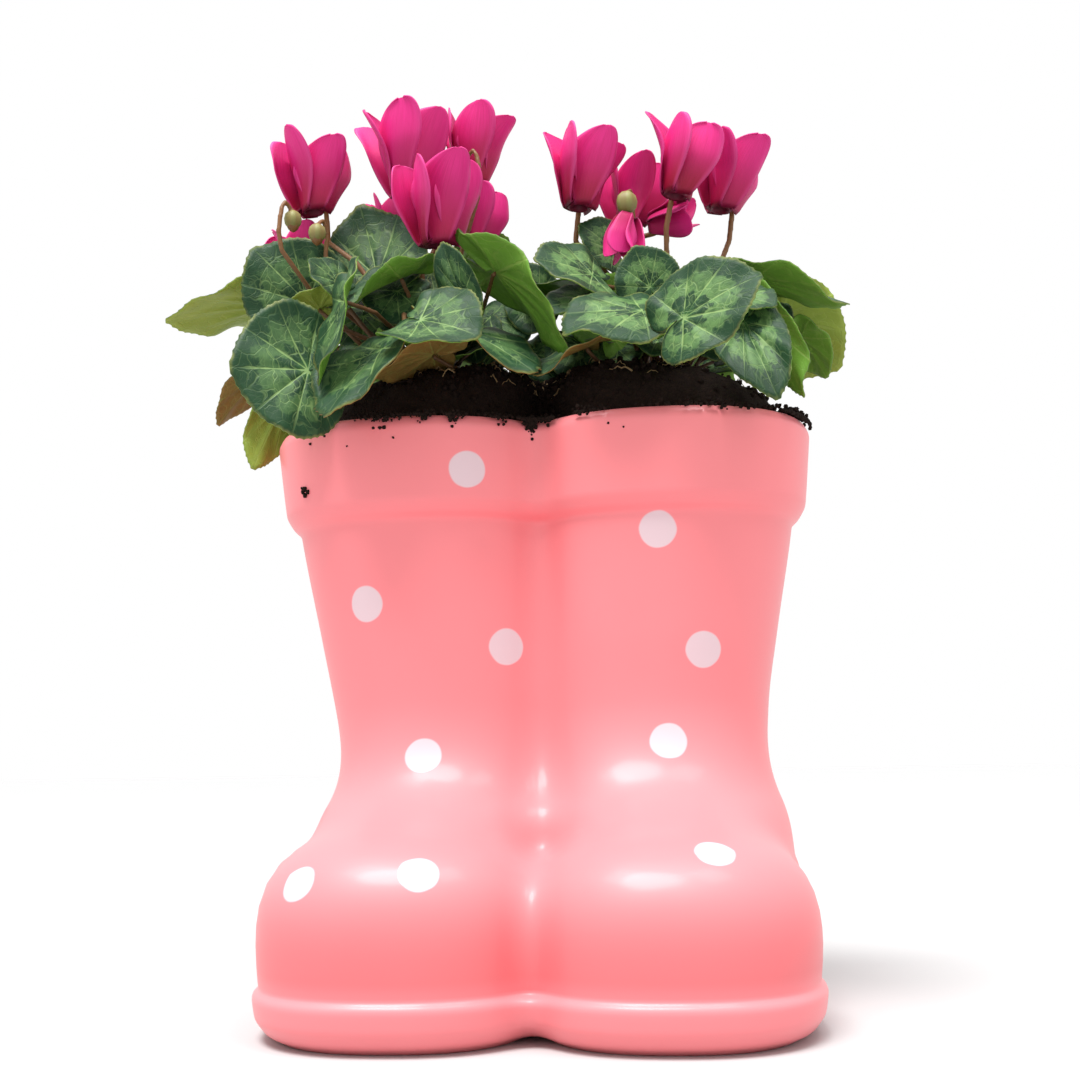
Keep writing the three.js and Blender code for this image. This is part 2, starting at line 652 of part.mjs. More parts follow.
function makePetal(frame, heading, flare, length) {
  const points = PETAL_STATIONS.flatMap((share) =>
    [-1, 0, 1].map((across) => petalPoint(frame, heading, flare, length, share, across)),
  );
  const last = PETAL_STATIONS.length - 1;
  const faces = [];
  for (let i = 0; i < last; i += 1) {
    for (const j of [0, 1]) {
      const a = 3 * i + j;
      faces.push([a, a + 1, a + 4], [a, a + 4, a + 3]);
    }
  }
  const edge = [0, 1, 2];
  for (let i = 1; i <= last; i += 1) edge.push(3 * i + 2);
  edge.push(3 * last + 1);
  for (let i = last; i > 0; i -= 1) edge.push(3 * i);
  return thickened(points, faces, edge, BLADE);
}

function makeBloom([, mouth, top, stalkHeading, flare], index) {
  const frame = bloomFrame(mouth, top);
  const draw = seededDraws(index + 1);
  const petals = PETAL_HEADINGS.map((offset) => {
    const heading = THREE.MathUtils.degToRad(stalkHeading + offset);
    const ownFlare = flare - 0.12 + 0.3 * draw();
    const length = 0.9 + 0.1 * draw();
    return makePetal(frame, heading, ownFlare, length);
  });
  const throat = turned(THROAT_PROFILE, THROAT_SIDES);
  throat.scale(frame.size, frame.size, frame.size);
  throat.applyQuaternion(new THREE.Quaternion().setFromUnitVectors(new THREE.Vector3(0, 0, 1), frame.up));
  throat.translate(...mouth);
  return joined([throat, ...petals]);
}

// Closed round stalk along a curve, tapering from one radius to the other
function makeStalk(curve, steps, startRadius, endRadius) {
  const rings = [];
  const normal = new THREE.Vector3(1, 0, 0);
  for (let i = 0; i <= steps; i += 1) {
    const middle = curve.getPoint(i / steps);
    const tangent = curve.getTangent(i / steps);
    normal.addScaledVector(tangent, -normal.dot(tangent)).normalize();
    const binormal = new THREE.Vector3().crossVectors(tangent, normal);
    const radius = THREE.MathUtils.lerp(startRadius, endRadius, i / steps);
    const ring = [];
    for (let j = 0; j < STALK_SIDES; j += 1) {
      const angle = (j / STALK_SIDES) * 2 * Math.PI;
      const point = middle.clone();
      point.addScaledVector(normal, radius * Math.cos(angle));
      point.addScaledVector(binormal, radius * Math.sin(angle));
      ring.push(point);
    }
    rings.push(ring);
  }
  return skinOf(rings, curve.getPoint(0), curve.getPoint(1));
}

function boxesMeet(a, b, gap) {
  return [0, 1, 2].every((k) => a.min[k] < b.max[k] + gap && b.min[k] < a.max[k] + gap);
}

function isClear(solid, others, gap) {
  const box = solid.boundingBox();
  return others.every((other) => !boxesMeet(box, other.box, gap) || solid.minGap(other.solid, 2 * gap) > gap);
}

function obstacle(solid) {
  return { solid, box: solid.boundingBox() };
}

// Moves back or forward and up or down, the smallest first
function smallMoves() {
  const moves = [];
  for (let i = -MOST_BACK_STEPS; i <= MOST_BACK_STEPS; i += 1) {
    LIFTS.forEach((lift) => moves.push([i * BACK_STEP, lift]));
  }
  const size = ([back, lift]) => Math.abs(back) + 4 * Math.abs(lift);
  return moves.sort((a, b) => size(a) - size(b));
}

const SMALL_MOVES = smallMoves();

// Moves a piece by the smallest move that clears the others, away from the plant's middle
function setClear(geometry, plant, others) {
  const solid = solidOf(geometry);
  const { min, max } = solid.boundingBox();
  const depth = (min[1] + max[1]) / 2 - ROOT_BALL.y;
  const away = Math.abs(depth) > MIDDLE_DEPTH ? Math.sign(depth) : 0;
  const outward = SMALL_MOVES.filter(([back]) => back * away >= -2 * BACK_STEP);
  for (const [back, lift] of [...outward, ...SMALL_MOVES]) {
    const move = STEP_BACK[plant].clone().multiplyScalar(back);
    move.z += lift;
    const moved = solid.translate(move.toArray());
    if (isClear(moved, others, TOUCH)) {
      others.push(obstacle(moved));
      return move;
    }
    moved.delete();
  }
  others.push(obstacle(solid));
  return new THREE.Vector3();
}

function crownMiddle(plant) {
  return new THREE.Vector3(plant === "left" ? -ROOT_BALL.x : ROOT_BALL.x, ROOT_BALL.y, TUBER_HEIGHT + 4);
}

// Places on the crown where stalks start, in a spiral: each is given to a stalk that leaves
// in its direction, the flattest ones outermost
function crownPlaces(plant, targets) {
  const middle = crownMiddle(plant);
  const aims = targets.map((target) => target.clone().sub(middle).normalize());
  const places = [];
  for (let n = targets.length - 1; n >= 0; n -= 1) {
    const radius = CROWN_SPACING * Math.sqrt(n + 0.5);
    const out = new THREE.Vector3(Math.cos(n * 2.39996), Math.sin(n * 2.39996), 0);
    let best = -1;
    const score = (i) => aims[i].dot(out) - aims[i].z;
    aims.forEach((_, i) => {
      if (!places[i] && (best < 0 || score(i) > score(best))) best = i;
    });
    places[best] = middle.clone().addScaledVector(out, radius);
  }
  return places;
}

// Leaf stalk from the crown to the underside of its blade
function leafStalkCurve(leaf, move, start, { rise, bow, turn }) {
  const [, at, tip, face, , , , droop] = leaf;
  const frame = leafFrame(at, tip, face, droop);
  const end = new THREE.Vector3(...at).add(move).addScaledVector(frame.up, -(BLADE / 2 + 0.95 * STALK_RADIUS));
  const arrive = frame.up.clone().addScaledVector(frame.along, 0.3 + 2 * turn).normalize();
  const reach = start.distanceTo(end);
  const first = start.clone().add(bow);
  first.z += rise * reach;
  const second = end.clone().addScaledVector(arrive, -0.3 * reach).addScaledVector(bow, 0.5);
  return new THREE.CubicBezierCurve3(start, first, second, end);
}

// Stalk that rises beside a bloom's mouth, passes between two petals and hooks down to its calyx
function bloomStalkCurve([, mouth, top, stalkHeading], move, start, { rise, bow, turn }) {
  const frame = bloomFrame(mouth, top);
  const angle = THREE.MathUtils.degToRad(stalkHeading) + PETAL_SLOT + 0.4 * turn;
  const out = frame.first.clone().multiplyScalar(Math.cos(angle)).addScaledVector(frame.second, Math.sin(angle));
  const at = ([distance, height]) =>
    frame.base
      .clone()
      .add(move)
      .addScaledVector(out, distance * frame.size)
      .addScaledVector(frame.up, height * frame.size);
  const hook = HOOK.map(at);
  const lower = start.clone().lerp(hook[1], 0.4).add(bow);
  lower.z = THREE.MathUtils.lerp(start.z, hook[1].z, rise) + 0.5 * bow.z;
  return new THREE.CatmullRomCurve3([start, lower, ...hook]);
}

// Stalk that rises beside a closed bud or a hanging bloom and hooks over into its top
function budStalkCurve(centre, heading, start, { rise, bow, turn }) {
  const angle = THREE.MathUtils.degToRad(heading) + 8 * turn;
  const at = ([distance, height]) =>
    new THREE.Vector3(
      centre.x + distance * Math.cos(angle),
      centre.y + distance * Math.sin(angle),
      centre.z + height,
    );
  const hook = BUD_HOOK.map(at);
  const lower = start.clone().lerp(hook[0], 0.45).add(bow);
  lower.z = THREE.MathUtils.lerp(start.z, hook[0].z, rise) + 0.5 * bow.z;
  return new THREE.CatmullRomCurve3([start, lower, ...hook]);
}

function makeCalyx([, mouth, top], move) {
  const frame = bloomFrame(mouth, top);
  const calyx = turned(CALYX_PROFILE, 6);
  calyx.scale(frame.size, frame.size, frame.size);
  calyx.applyQuaternion(new THREE.Quaternion().setFromUnitVectors(new THREE.Vector3(0, 0, 1), frame.up));
  return calyx.translate(...mouth).translate(move.x, move.y, move.z);
}

// Ways a stalk can run, from straight to widely bowed
function stalkWays() {
  const draw = seededDraws(5);
  return Array.from({ length: STALK_TRIES }, (_, i) => {
    const wide = WIDEST_BOW * (i / STALK_TRIES);
    const bow = new THREE.Vector3(2 * draw() - 1, 2 * draw() - 1, draw() - 0.5).multiplyScalar(wide);
    return { rise: 0.25 + 0.5 * draw(), bow, turn: (draw() - 0.5) * Math.min(0.2 + i / 100, 1) };
  });
}

const STALK_WAYS = stalkWays();

// The first way that clears the other pieces, and its plant's stalks if it can
function grownClear(make, others, stalks) {
  for (const around of [[...others, ...stalks], others]) {
    for (const way of STALK_WAYS) {
      const pieces = make(way).map(solidOf);
      if (pieces.every((piece) => isClear(piece, around, TOUCH))) return pieces;
      pieces.forEach((piece) => piece.delete());
    }
  }
  return make(STALK_WAYS[0]).map(solidOf);
}

// What grows from a tuber: the end it reaches and how it is made
function bloomStalk(bloom, move) {
  const [, mouth] = bloom;
  const make = (start, way) => [
    makeStalk(bloomStalkCurve(bloom, move, start, way), BLOOM_STALK_STEPS, STALK_RADIUS * 1.1, STALK_RADIUS),
    makeCalyx(bloom, move),
  ];
  return { target: new THREE.Vector3(...mouth).add(move), make };
}

function budStalk(centre, heading) {
  const make = (start, way) => [
    makeStalk(budStalkCurve(centre, heading, start, way), BLOOM_STALK_STEPS, STALK_RADIUS, STALK_RADIUS * 0.8),
    turned(BUD_PROFILE, 6).translate(...centre.toArray()),
  ];
  return { target: centre, make };
}

function leafStalk(leaf, move) {
  const make = (start, way) => [
    makeStalk(leafStalkCurve(leaf, move, start, way), LEAF_STALK_STEPS, STALK_RADIUS, STALK_RADIUS * 0.85),
  ];
  return { target: new THREE.Vector3(...leaf[1]).add(move), make };
}

// Tuber with everything that grows from it: leaf stalks, flower stalks, calyces and closed buds
function makeStalks(plant, moves, others) {
  const tuber = turned(TUBER_PROFILE, TUBER_SIDES);
  const middle = crownMiddle(plant);
  tuber.translate(middle.x, middle.y, TUBER_HEIGHT);
  const own = (rows) => rows.filter(([name]) => name.startsWith(plant));
  const stalks = [
    ...own(BLOOMS).map((bloom) => {
      const [name, mouth, top, heading] = bloom;
      const move = moves.get(name);
      if (top[2] > mouth[2]) return bloomStalk(bloom, move);
      const centre = new THREE.Vector3(...mouth).add(move).add(new THREE.Vector3(0, 0, HANGING_CALYX));
      return budStalk(centre, heading);
    }),
    ...own(BUDS).map(([, centre, heading]) => budStalk(new THREE.Vector3(...centre), heading)),
    ...own(LEAVES).map((leaf) => leafStalk(leaf, moves.get(leaf[0]))),
  ];
  const starts = crownPlaces(plant, stalks.map(({ target }) => target));
  const grown = [];
  stalks.forEach(({ make }, i) => {
    const pieces = grownClear((way) => make(starts[i], way), others, grown);
    grown.push(...pieces.map(obstacle));
  });
  return fused([solidOf(tuber), ...grown.map(({ solid }) => solid)]);
}

const glaze = new THREE.MeshStandardMaterial({ color: 0xf79aa0, roughness: 0.15, metalness: 0 });
const peat = new THREE.MeshStandardMaterial({ color: 0x1c120e, roughness: 1, metalness: 0 });
const stalkSkin = new THREE.MeshStandardMaterial({ color: 0x6f4a34, roughness: 0.5, metalness: 0 });
const leafSkin = new THREE.MeshStandardMaterial({ color: 0x3f6b3a, roughness: 0.45, metalness: 0 });
const petalSkin = new THREE.MeshStandardMaterial({ color: 0xe0428a, roughness: 0.5, metalness: 0 });

const plant = new THREE.Group();

function place(name, geometry, material) {
  const mesh = new THREE.Mesh(geometry, material);
  mesh.name = name;
  plant.add(mesh);
}

const pot = makePot();
const soil = makeSoil();
place("boots_pot", pot, glaze);
place("potting_soil", soil, peat);

const others = [pot, soil].map((geometry) => obstacle(solidOf(geometry)));
const moves = new Map();

function placeClear(name, geometry, material) {
  const move = setClear(geometry, name.split("_")[0], others);
  moves.set(name, move);
  place(name, geometry.translate(move.x, move.y, move.z), material);
}

BLOOMS.forEach((bloom, index) => placeClear(bloom[0], makeBloom(bloom, index), petalSkin));
const leafSize = ([, at, tip, , width]) => width * new THREE.Vector3(...at).distanceTo(new THREE.Vector3(...tip));
const largestFirst = LEAVES.map((leaf, index) => [leaf, index]).sort((a, b) => leafSize(b[0]) - leafSize(a[0]));
largestFirst.forEach(([leaf, index]) => placeClear(leaf[0], makeLeaf(leaf, index), leafSkin));
for (const side of ["left", "right"]) {
  const stalks = makeStalks(side, moves, others);
  others.push(obstacle(stalks));
  place(`${side}_tuber_and_stalks`, geometryFrom(stalks), stalkSkin);
}

export default plant;
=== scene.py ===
"""Looks of the potted cyclamens: glaze, soil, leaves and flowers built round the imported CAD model.

Shapes are worked out in millimetres, in the CAD model's frame, and turned into metres when a mesh is made.
"""

import math

import bpy
import numpy as np
from mathutils import Matrix, Vector, noise


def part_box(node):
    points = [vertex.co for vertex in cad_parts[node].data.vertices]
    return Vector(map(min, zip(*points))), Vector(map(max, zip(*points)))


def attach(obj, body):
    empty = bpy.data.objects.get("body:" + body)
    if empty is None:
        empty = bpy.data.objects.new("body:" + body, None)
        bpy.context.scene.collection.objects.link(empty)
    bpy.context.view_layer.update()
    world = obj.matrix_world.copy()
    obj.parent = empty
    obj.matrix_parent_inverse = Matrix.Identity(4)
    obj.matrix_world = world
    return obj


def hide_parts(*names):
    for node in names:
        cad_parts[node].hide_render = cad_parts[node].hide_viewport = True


MM = 0.001
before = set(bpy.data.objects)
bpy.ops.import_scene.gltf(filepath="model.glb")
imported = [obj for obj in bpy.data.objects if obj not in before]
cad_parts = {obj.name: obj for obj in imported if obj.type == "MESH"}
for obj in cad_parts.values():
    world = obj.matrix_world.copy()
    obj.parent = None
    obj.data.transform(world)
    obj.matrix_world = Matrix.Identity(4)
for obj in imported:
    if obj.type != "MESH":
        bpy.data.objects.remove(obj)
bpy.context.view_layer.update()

# Camera of the photo: in front, a little right of the middle and below the flowers
CAMERA_PLACE = (52.3, -597.7, 102)
CAMERA_AZIMUTH = 5.34
CAMERA_TILT = 3.2
CAMERA_ROLL = -1.0
CAMERA_FOCUS = 1444  # in pixels of the photo
PHOTO_SIDE = 1080
CAMERA_SHIFT = 0.1206

# Studio: light from above, and a floor that comes out as white as the room under it, in metres
SUN_FROM = (-0.15, -0.36, 1.0)
SUN_STRENGTH = 3.2
SUN_SOFTNESS = 24
LAMP_PLACES = {"ceiling_left": (-0.45, -0.35, 1.45), "ceiling_right": (0.45, -0.35, 1.45)}
LAMP_AIM = (0, 0, 0.15)
LAMP_SIDE = 0.45
LAMP_POWER = 5
FLOOR_WHITE = 0.51
FLOOR_REACH = 6.0

# Pot: the same driving sizes as the CAD model
RIM_HEIGHT = 232
SOLE_HEIGHT = 17.5
CUFF_BOTTOM = 193.5
CUFF_PROUD = 4.5
WALL = 6
FLOOR = 8
ROUNDNESS = 2.25  # exponent of the shafts' rounded section
PAIR_BLEND = 12  # width of the soft seam between the two boots
TOE_BLEND = 12  # the same between a shaft and its toe, and how much wider it is at the instep
INSTEP_BLEND = 36
INSTEP_LEVELS = (48, 82)
TOE_TUCK = 0.05
WAIST = 16  # least reach of the inside from the middle, where the boots join
WAIST_DRAWN_IN = 0.65  # share of it that the soil reaches

# Fineness of the pot's mesh; the straight shaft and the plain cuff need fewer rings
POT_SPOKES = 320
POT_STEP = 1.1
PLAIN_STEP = 3.0
PLAIN_ZONES = [(112, CUFF_BOTTOM - 4), (CUFF_BOTTOM + 9, RIM_HEIGHT - 6)]
LIP_ROUNDING = 0.9

# A boot's shaft and heel: height, centre from the middle, centre in depth, half width, half length
LEFT_SHAFT = [
    [0, 43, 6, 48, 49], [20, 43, 6, 48, 49], [50, 41, 3, 45, 49], [80, 38, 0, 44, 48],
    [118, 40, 0, 48, 46], [150, 43, 0, 51, 48], [193, 48, 0, 54, 51], [232, 50, 0, 56.5, 53],
]
RIGHT_SHAFT = [
    [0, 43, 6, 50, 49], [20, 44, 6, 51, 49], [50, 47, 3, 54.5, 50], [80, 42, 0, 48, 50],
    [118, 40, 0, 50, 46], [150, 43, 0, 51.5, 48], [193, 48, 0, 53.5, 51], [232, 50, 0, 55, 53],
]
# A boot's rounded toe: centre, half sizes and the exponents of its plan and its crown
LEFT_TOE = [49, -62, 26, 55, 57, 49, 2.4, 2.9]
RIGHT_TOE = [49, -62, 26, 55, 57, 48, 2.4, 2.7]

# Outside of the pot, then the lip: height on the plain form, how far the surface stands proud of it there
OUTSIDE = [
    [0, -6], [3, -1.6], [8, 0.8], [16, 0.9], [SOLE_HEIGHT, 0], [SOLE_HEIGHT + 1, -1.8], [22.5, -0.6], [26, 0],
    [CUFF_BOTTOM - 1, 0], [CUFF_BOTTOM + 1.5, 2.5], [CUFF_BOTTOM + 6, CUFF_PROUD],
    [RIM_HEIGHT - 4, CUFF_PROUD], [RIM_HEIGHT, 2],
]
LIP = [[RIM_HEIGHT, -4], [RIM_HEIGHT - 2.5, -WALL], [200, -WALL]]
INNER_LEVELS = [150, 115, 82, 48, 26]

# Slope of the sampling rays over the feet: height at the middle, rise per millimetre outwards
FOOT_RAYS = [
    [0, 0], [20, 0], [24, 0.2], [27, 0.4], [30, 0.6], [34, 0.8], [40, 0.95], [50, 1],
    [62, 0.92], [80, 0.72], [100, 0.46], [120, 0.22], [145, 0], [240, 0],
]
FRONT_FADE = 0.75  # the slope fades out towards the sides
RAY_MIDDLE = -10  # depth where the rays start in the feet; higher up they start in the middle
RAY_LEVELS = (90, 150)
RAY_REACH = 170.0
RAY_STEP = 2
RAY_STEPS = 82
HALVINGS = 20


def unit(vector):
    return vector / np.linalg.norm(vector)


def spokes(count):
    """Headings spread evenly round a full turn."""
    return np.linspace(0, 2 * math.pi, count, endpoint=False)


def read_rows(rows, position):
    """Smooth curve through value rows, read at positions in the first column."""
    table = np.array(rows, float)
    x = table[:, 0]
    at = np.clip(np.asarray(position, float), x[0], x[-1])
    i = np.clip(np.searchsorted(x, at, side="right") - 1, 0, len(x) - 2)
    before = np.maximum(i - 1, 0)
    after = np.minimum(i + 2, len(x) - 1)
    step = x[i + 1] - x[i]
    u = ((at - x[i]) / step)[..., None]
    a = table[i, 1:]
    b = table[i + 1, 1:]
    slope_a = (b - table[before, 1:]) * (step / (x[i + 1] - x[before]))[..., None]
    slope_b = (table[after, 1:] - a) * (step / (x[after] - x[i]))[..., None]
    start = (2 * u**3 - 3 * u**2 + 1) * a + (u**3 - 2 * u**2 + u) * slope_a
    return start + (3 * u**2 - 2 * u**3) * b + (u**3 - u**2) * slope_b


def smoothstep(value, low, high):
    t = np.clip((value - low) / (high - low), 0, 1)
    return t * t * (3 - 2 * t)


def soft_minimum(a, b, width):
    h = np.maximum(width - np.abs(a - b), 0) / width
    return np.minimum(a, b) - h * h * width / 4


def boot_field(x, y, z, shaft, toe):
    """Signed distance, nearly, to one boot: negative inside."""
    centre_x, centre_y, width, length = np.moveaxis(read_rows(shaft, z), -1, 0)
    plan = np.abs((x - centre_x) / width) ** ROUNDNESS + np.abs((y - centre_y) / length) ** ROUNDNESS
    shaft_field = (plan ** (1 / ROUNDNESS) - 1) * np.minimum(width, length)
    toe_x, toe_y, toe_z, width, length, toe_height, round_plan, round_crown = toe
    low = np.clip((toe_z - z) / toe_z, 0, 1)
    tuck = 1 - TOE_TUCK * low * low
    plan = np.abs((x - toe_x) / (width * tuck)) ** round_plan
    plan = (plan + np.abs((y - toe_y) / (length * tuck)) ** round_plan) ** (1 / round_plan)
    rise = np.maximum(z - toe_z, 0) / toe_height
    crown = (plan**round_crown + rise**round_crown) ** (1 / round_crown)
    blend = TOE_BLEND + INSTEP_BLEND * smoothstep(z, *INSTEP_LEVELS)
    return soft_minimum(shaft_field, (crown - 1) * toe_height, blend)


def pot_field(x, y, z):
    left = boot_field(-x, y, z, LEFT_SHAFT, LEFT_TOE)
    right = boot_field(x, y, z, RIGHT_SHAFT, RIGHT_TOE)
    return soft_minimum(left, right, PAIR_BLEND)


def surface_points(angle, height, proud, tilt):
    """Points of the boots' surface on rays from the middle, as an array of x, y, z."""
    given = [np.asarray(value, float) for value in (angle, height, proud, tilt)]
    angle, height, proud, tilt = np.broadcast_arrays(*given)
    slope = tilt * smoothstep(-np.sin(angle), 0, FRONT_FADE) * np.interp(height, *np.array(FOOT_RAYS).T)
    low, high = RAY_LEVELS
    middle_y = RAY_MIDDLE * np.clip((high - height) / (high - low), 0, 1)

    def free(r):
        return pot_field(*place(r)) - proud > 0

    def place(r):
        return np.cos(angle) * r, middle_y + np.sin(angle) * r, height + slope * r

    outside = np.full(angle.shape, RAY_REACH)
    for _ in range(RAY_STEPS):
        clear = free(outside - RAY_STEP)
        outside = np.where(clear & (outside > 3 * RAY_STEP), outside - RAY_STEP, outside)
        if not clear.any():
            break
    inside = outside - RAY_STEP
    for _ in range(HALVINGS):
        middle = (outside + inside) / 2
        clear = free(middle)
        outside = np.where(clear, middle, outside)
        inside = np.where(clear, inside, middle)
    return np.stack(place(inside), axis=-1)


def rounded_profile(rows, step, rounding):
    """Points every step along a profile of straight lines, with its corners rounded."""
    corners = np.array(rows, float)
    lengths = np.concatenate([[0], np.cumsum(np.hypot(*np.diff(corners, axis=0).T))])
    fine_step = step / 4
    along = np.linspace(0, lengths[-1], int(lengths[-1] / fine_step) + 1)
    fine = np.stack([np.interp(along, lengths, corners[:, k]) for k in (0, 1)], axis=1)
    reach = int(3 * rounding / fine_step)
    weights = np.exp(-0.5 * (np.arange(-reach, reach + 1) * fine_step / rounding) ** 2)
    weights /= weights.sum()
    padded = np.pad(fine, ((reach, reach), (0, 0)), mode="reflect", reflect_type="odd")
    smooth = np.stack([np.convolve(padded[:, k], weights, mode="valid") for k in (0, 1)], axis=1)
    return smooth[::4]


def grid_faces(rows, columns, closed):
    """Quads of a grid of points, closed round its columns or open."""
    faces = []
    for i in range(rows - 1):
        for j in range(columns if closed else columns - 1):
            k = (j + 1) % columns
            faces.append((i * columns + j, i * columns + k, (i + 1) * columns + k, (i + 1) * columns + j))
    return faces


def capped(rings, start, end):
    """Points and faces of closed rings with a middle point at each end."""
    count = rings.shape[1]
    points = np.concatenate([rings.reshape(-1, 3), [start], [end]])
    faces = grid_faces(len(rings), count, True)
    first = len(points) - 2
    base = (len(rings) - 1) * count
    for j in range(count):
        k = (j + 1) % count
        faces.append((first, k, j))
        faces.append((first + 1, base + j, base + k))
    return points, faces


def turned(profile, sides):
    """Rings of a turned profile given as radius and height."""
    turns = spokes(sides)
    rows = np.array(profile, float)
    heights = np.repeat(rows[:, 1:], sides, axis=1)
    return np.stack([rows[:, :1] * np.cos(turns), rows[:, :1] * np.sin(turns), heights], axis=-1)


def tube(path, radii, sides):
    """Rings round a path, closed at both ends with a middle point."""
    path = np.asarray(path, float)
    tangents = np.gradient(path, axis=0)
    tangents /= np.linalg.norm(tangents, axis=1)[:, None]
    normal = np.array([0.31, 0.87, 0.38])  # along none of the paths
    rings = []
    for middle, tangent, radius in zip(path, tangents, radii):
        normal = unit(normal - tangent * (normal @ tangent))
        other = np.cross(tangent, normal)
        rings.append([middle + radius * (math.cos(t) * normal + math.sin(t) * other) for t in spokes(sides)])
    return capped(np.array(rings), path[0], path[-1])


def add_object(name, data):
    thing = bpy.data.objects.new(name, data)
    bpy.context.scene.collection.objects.link(thing)
    return thing


def new_mesh(name, points, faces):
    """Mesh from points in millimetres."""
    mesh = bpy.data.meshes.new(name)
    mesh.from_pydata((np.asarray(points) * MM).tolist(), [], faces)
    return mesh


def add_piece(name, mesh, material):
    """Smooth-shaded piece that rides on the body."""
    mesh.shade_smooth()
    mesh.materials.append(material)
    thing = add_object(name, mesh)
    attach(thing, "root")
    return thing


class Pile:
    """Forms in millimetres that share one mesh: points, faces and named colour values."""

    def __init__(self, points=(), faces=(), colours=None):
        self.points, self.faces, self.colours = [], [], {}
        self.add(points, faces, colours)

    def add(self, points, faces, colours=None):
        start = len(self.points)
        self.points.extend(points)
        self.faces.extend(tuple(start + i for i in f) for f in faces)
        for label, values in (colours or {}).items():
            self.colours.setdefault(label, []).extend(values)

    def piece(self, name, material, slot):
        mesh = new_mesh(name, self.points, self.faces)
        for label, values in self.colours.items():
            layer = mesh.attributes.new(label, "FLOAT_COLOR", "POINT")
            rgba = np.ones((len(values), 4), np.float32)
            rgba[:, : len(values[0])] = values
            layer.data.foreach_set("color", rgba.ravel())
        return add_piece(name, mesh, material)


def srgb(red, green, blue):
    """A colour given as 0 to 255 on screen, as the linear colour that a shader takes."""
    def linear(c):
        c = c / 255
        return c / 12.92 if c <= 0.04045 else ((c + 0.055) / 1.055) ** 2.4

    return (linear(red), linear(green), linear(blue), 1.0)


class Shader:
    """Adds nodes to one material and links them. Its mixes take colours as 0 to 255 on screen."""

    def __init__(self, name):
        self.material = bpy.data.materials.new(name)
        self.material.use_nodes = True
        self.tree = self.material.node_tree
        self.surface = self.tree.nodes["Principled BSDF"]

    def link(self, value, socket):
        if isinstance(value, bpy.types.NodeSocket):
            self.tree.links.new(value, socket)
        else:
            socket.default_value = value

    def node(self, kind, *values, output=0, **settings):
        """Output of a new node that has these values at its first inputs."""
        made = self.tree.nodes.new(kind)
        for key, value in settings.items():
            setattr(made, key, value)
        for value, socket in zip(values, made.inputs):
            self.link(value, socket)
        return made.outputs[output]

    def set(self, node=None, **values):
        for name, value in values.items():
            self.link(value, (node or self.surface).inputs[name.replace("_", " ")])

    def math(self, operation, *values):
        return self.node("ShaderNodeMath", *values, operation=operation)

    def times(self, a, b):
        return self.math("MULTIPLY", a, b)

    def plus(self, a, b):
        return self.math("ADD", a, b)

    def minus(self, a, b):
        return self.math("SUBTRACT", a, b)

    def least(self, values):
        least, *others = values
        for value in others:
            least = self.math("MINIMUM", least, value)
        return least

    def step(self, value, low, high, a=0.0, b=1.0):
        """Soft step from a to b between two values."""
        return self.node("ShaderNodeMapRange", value, low, high, a, b, interpolation_type="SMOOTHSTEP")

    def mix(self, share, a, b):
        made = self.tree.nodes.new("ShaderNodeMix")
        made.data_type = "RGBA"
        for k, value in ((0, share), (6, a), (7, b)):
            self.link(srgb(*value) if isinstance(value, tuple) else value, made.inputs[k])
        return made.outputs[2]

    def vector(self, *values):
        return self.node("ShaderNodeCombineXYZ", *values)

    def position(self):
        return self.node("ShaderNodeTexCoord", output="Object")

    def height(self):
        return self.node("ShaderNodeSeparateXYZ", self.position(), output=2)

    def distance_to(self, point):
        ends = (self.position(), point.tolist())
        return self.node("ShaderNodeVectorMath", *ends, output="Value", operation="DISTANCE")

    def attribute(self, name):
        """The three channels of a colour attribute."""
        found = self.node("ShaderNodeAttribute", output="Color", attribute_name=name)
        return self.node("ShaderNodeSeparateColor", found, output=slice(3))

    def noise(self, scale, detail=2.0, vector=None):
        return self.node("ShaderNodeTexNoise", vector or self.position(), 0.0, scale, detail)

    def cell_edges(self, scale, vector):
        """Distance to the edges of a net of cells."""
        edges = {"output": "Distance", "feature": "DISTANCE_TO_EDGE"}
        return self.node("ShaderNodeTexVoronoi", vector, 0.0, scale, **edges)

    def bump(self, height, strength, distance):
        made = self.tree.nodes.new("ShaderNodeBump")
        self.set(made, Strength=strength, Distance=distance, Height=height)
        self.set(Normal=made.outputs[0])


# White dots: heading of the ray from the middle in degrees (-90 is the front), height on the ray's foot
DOT_SIZE = 14
DOTS = [
    (-115.5, 210.5), (-47, 185.5), (-146, 160.5), (-108, 141.5), (-33, 133.5),
    (-138, 44.5), (-38, 48), (-110, 26), (-130, 25), (-54, 26.5),
    (172, 202), (168, 143), (171, 86), (160, 38), (143, 172), (140, 114), (136, 63),
    (121, 212), (114, 150), (116, 94), (116, 42), (98, 184), (96, 66),
    (78, 214), (71, 158), (72, 106), (66, 48), (50, 188), (44, 130), (42, 78), (40, 34),
    (22, 212), (17, 158), (13, 104), (14, 54), (-10, 32), (-170, 32),
]
DOT_EDGE = (0.1, 0.9)
# Heights in metres where the shade painted low on the toes, above the sole, begins, is deepest from and to,
# and ends
TOE_SHADE_LEVELS = (0.018, 0.026, 0.03, 0.066)


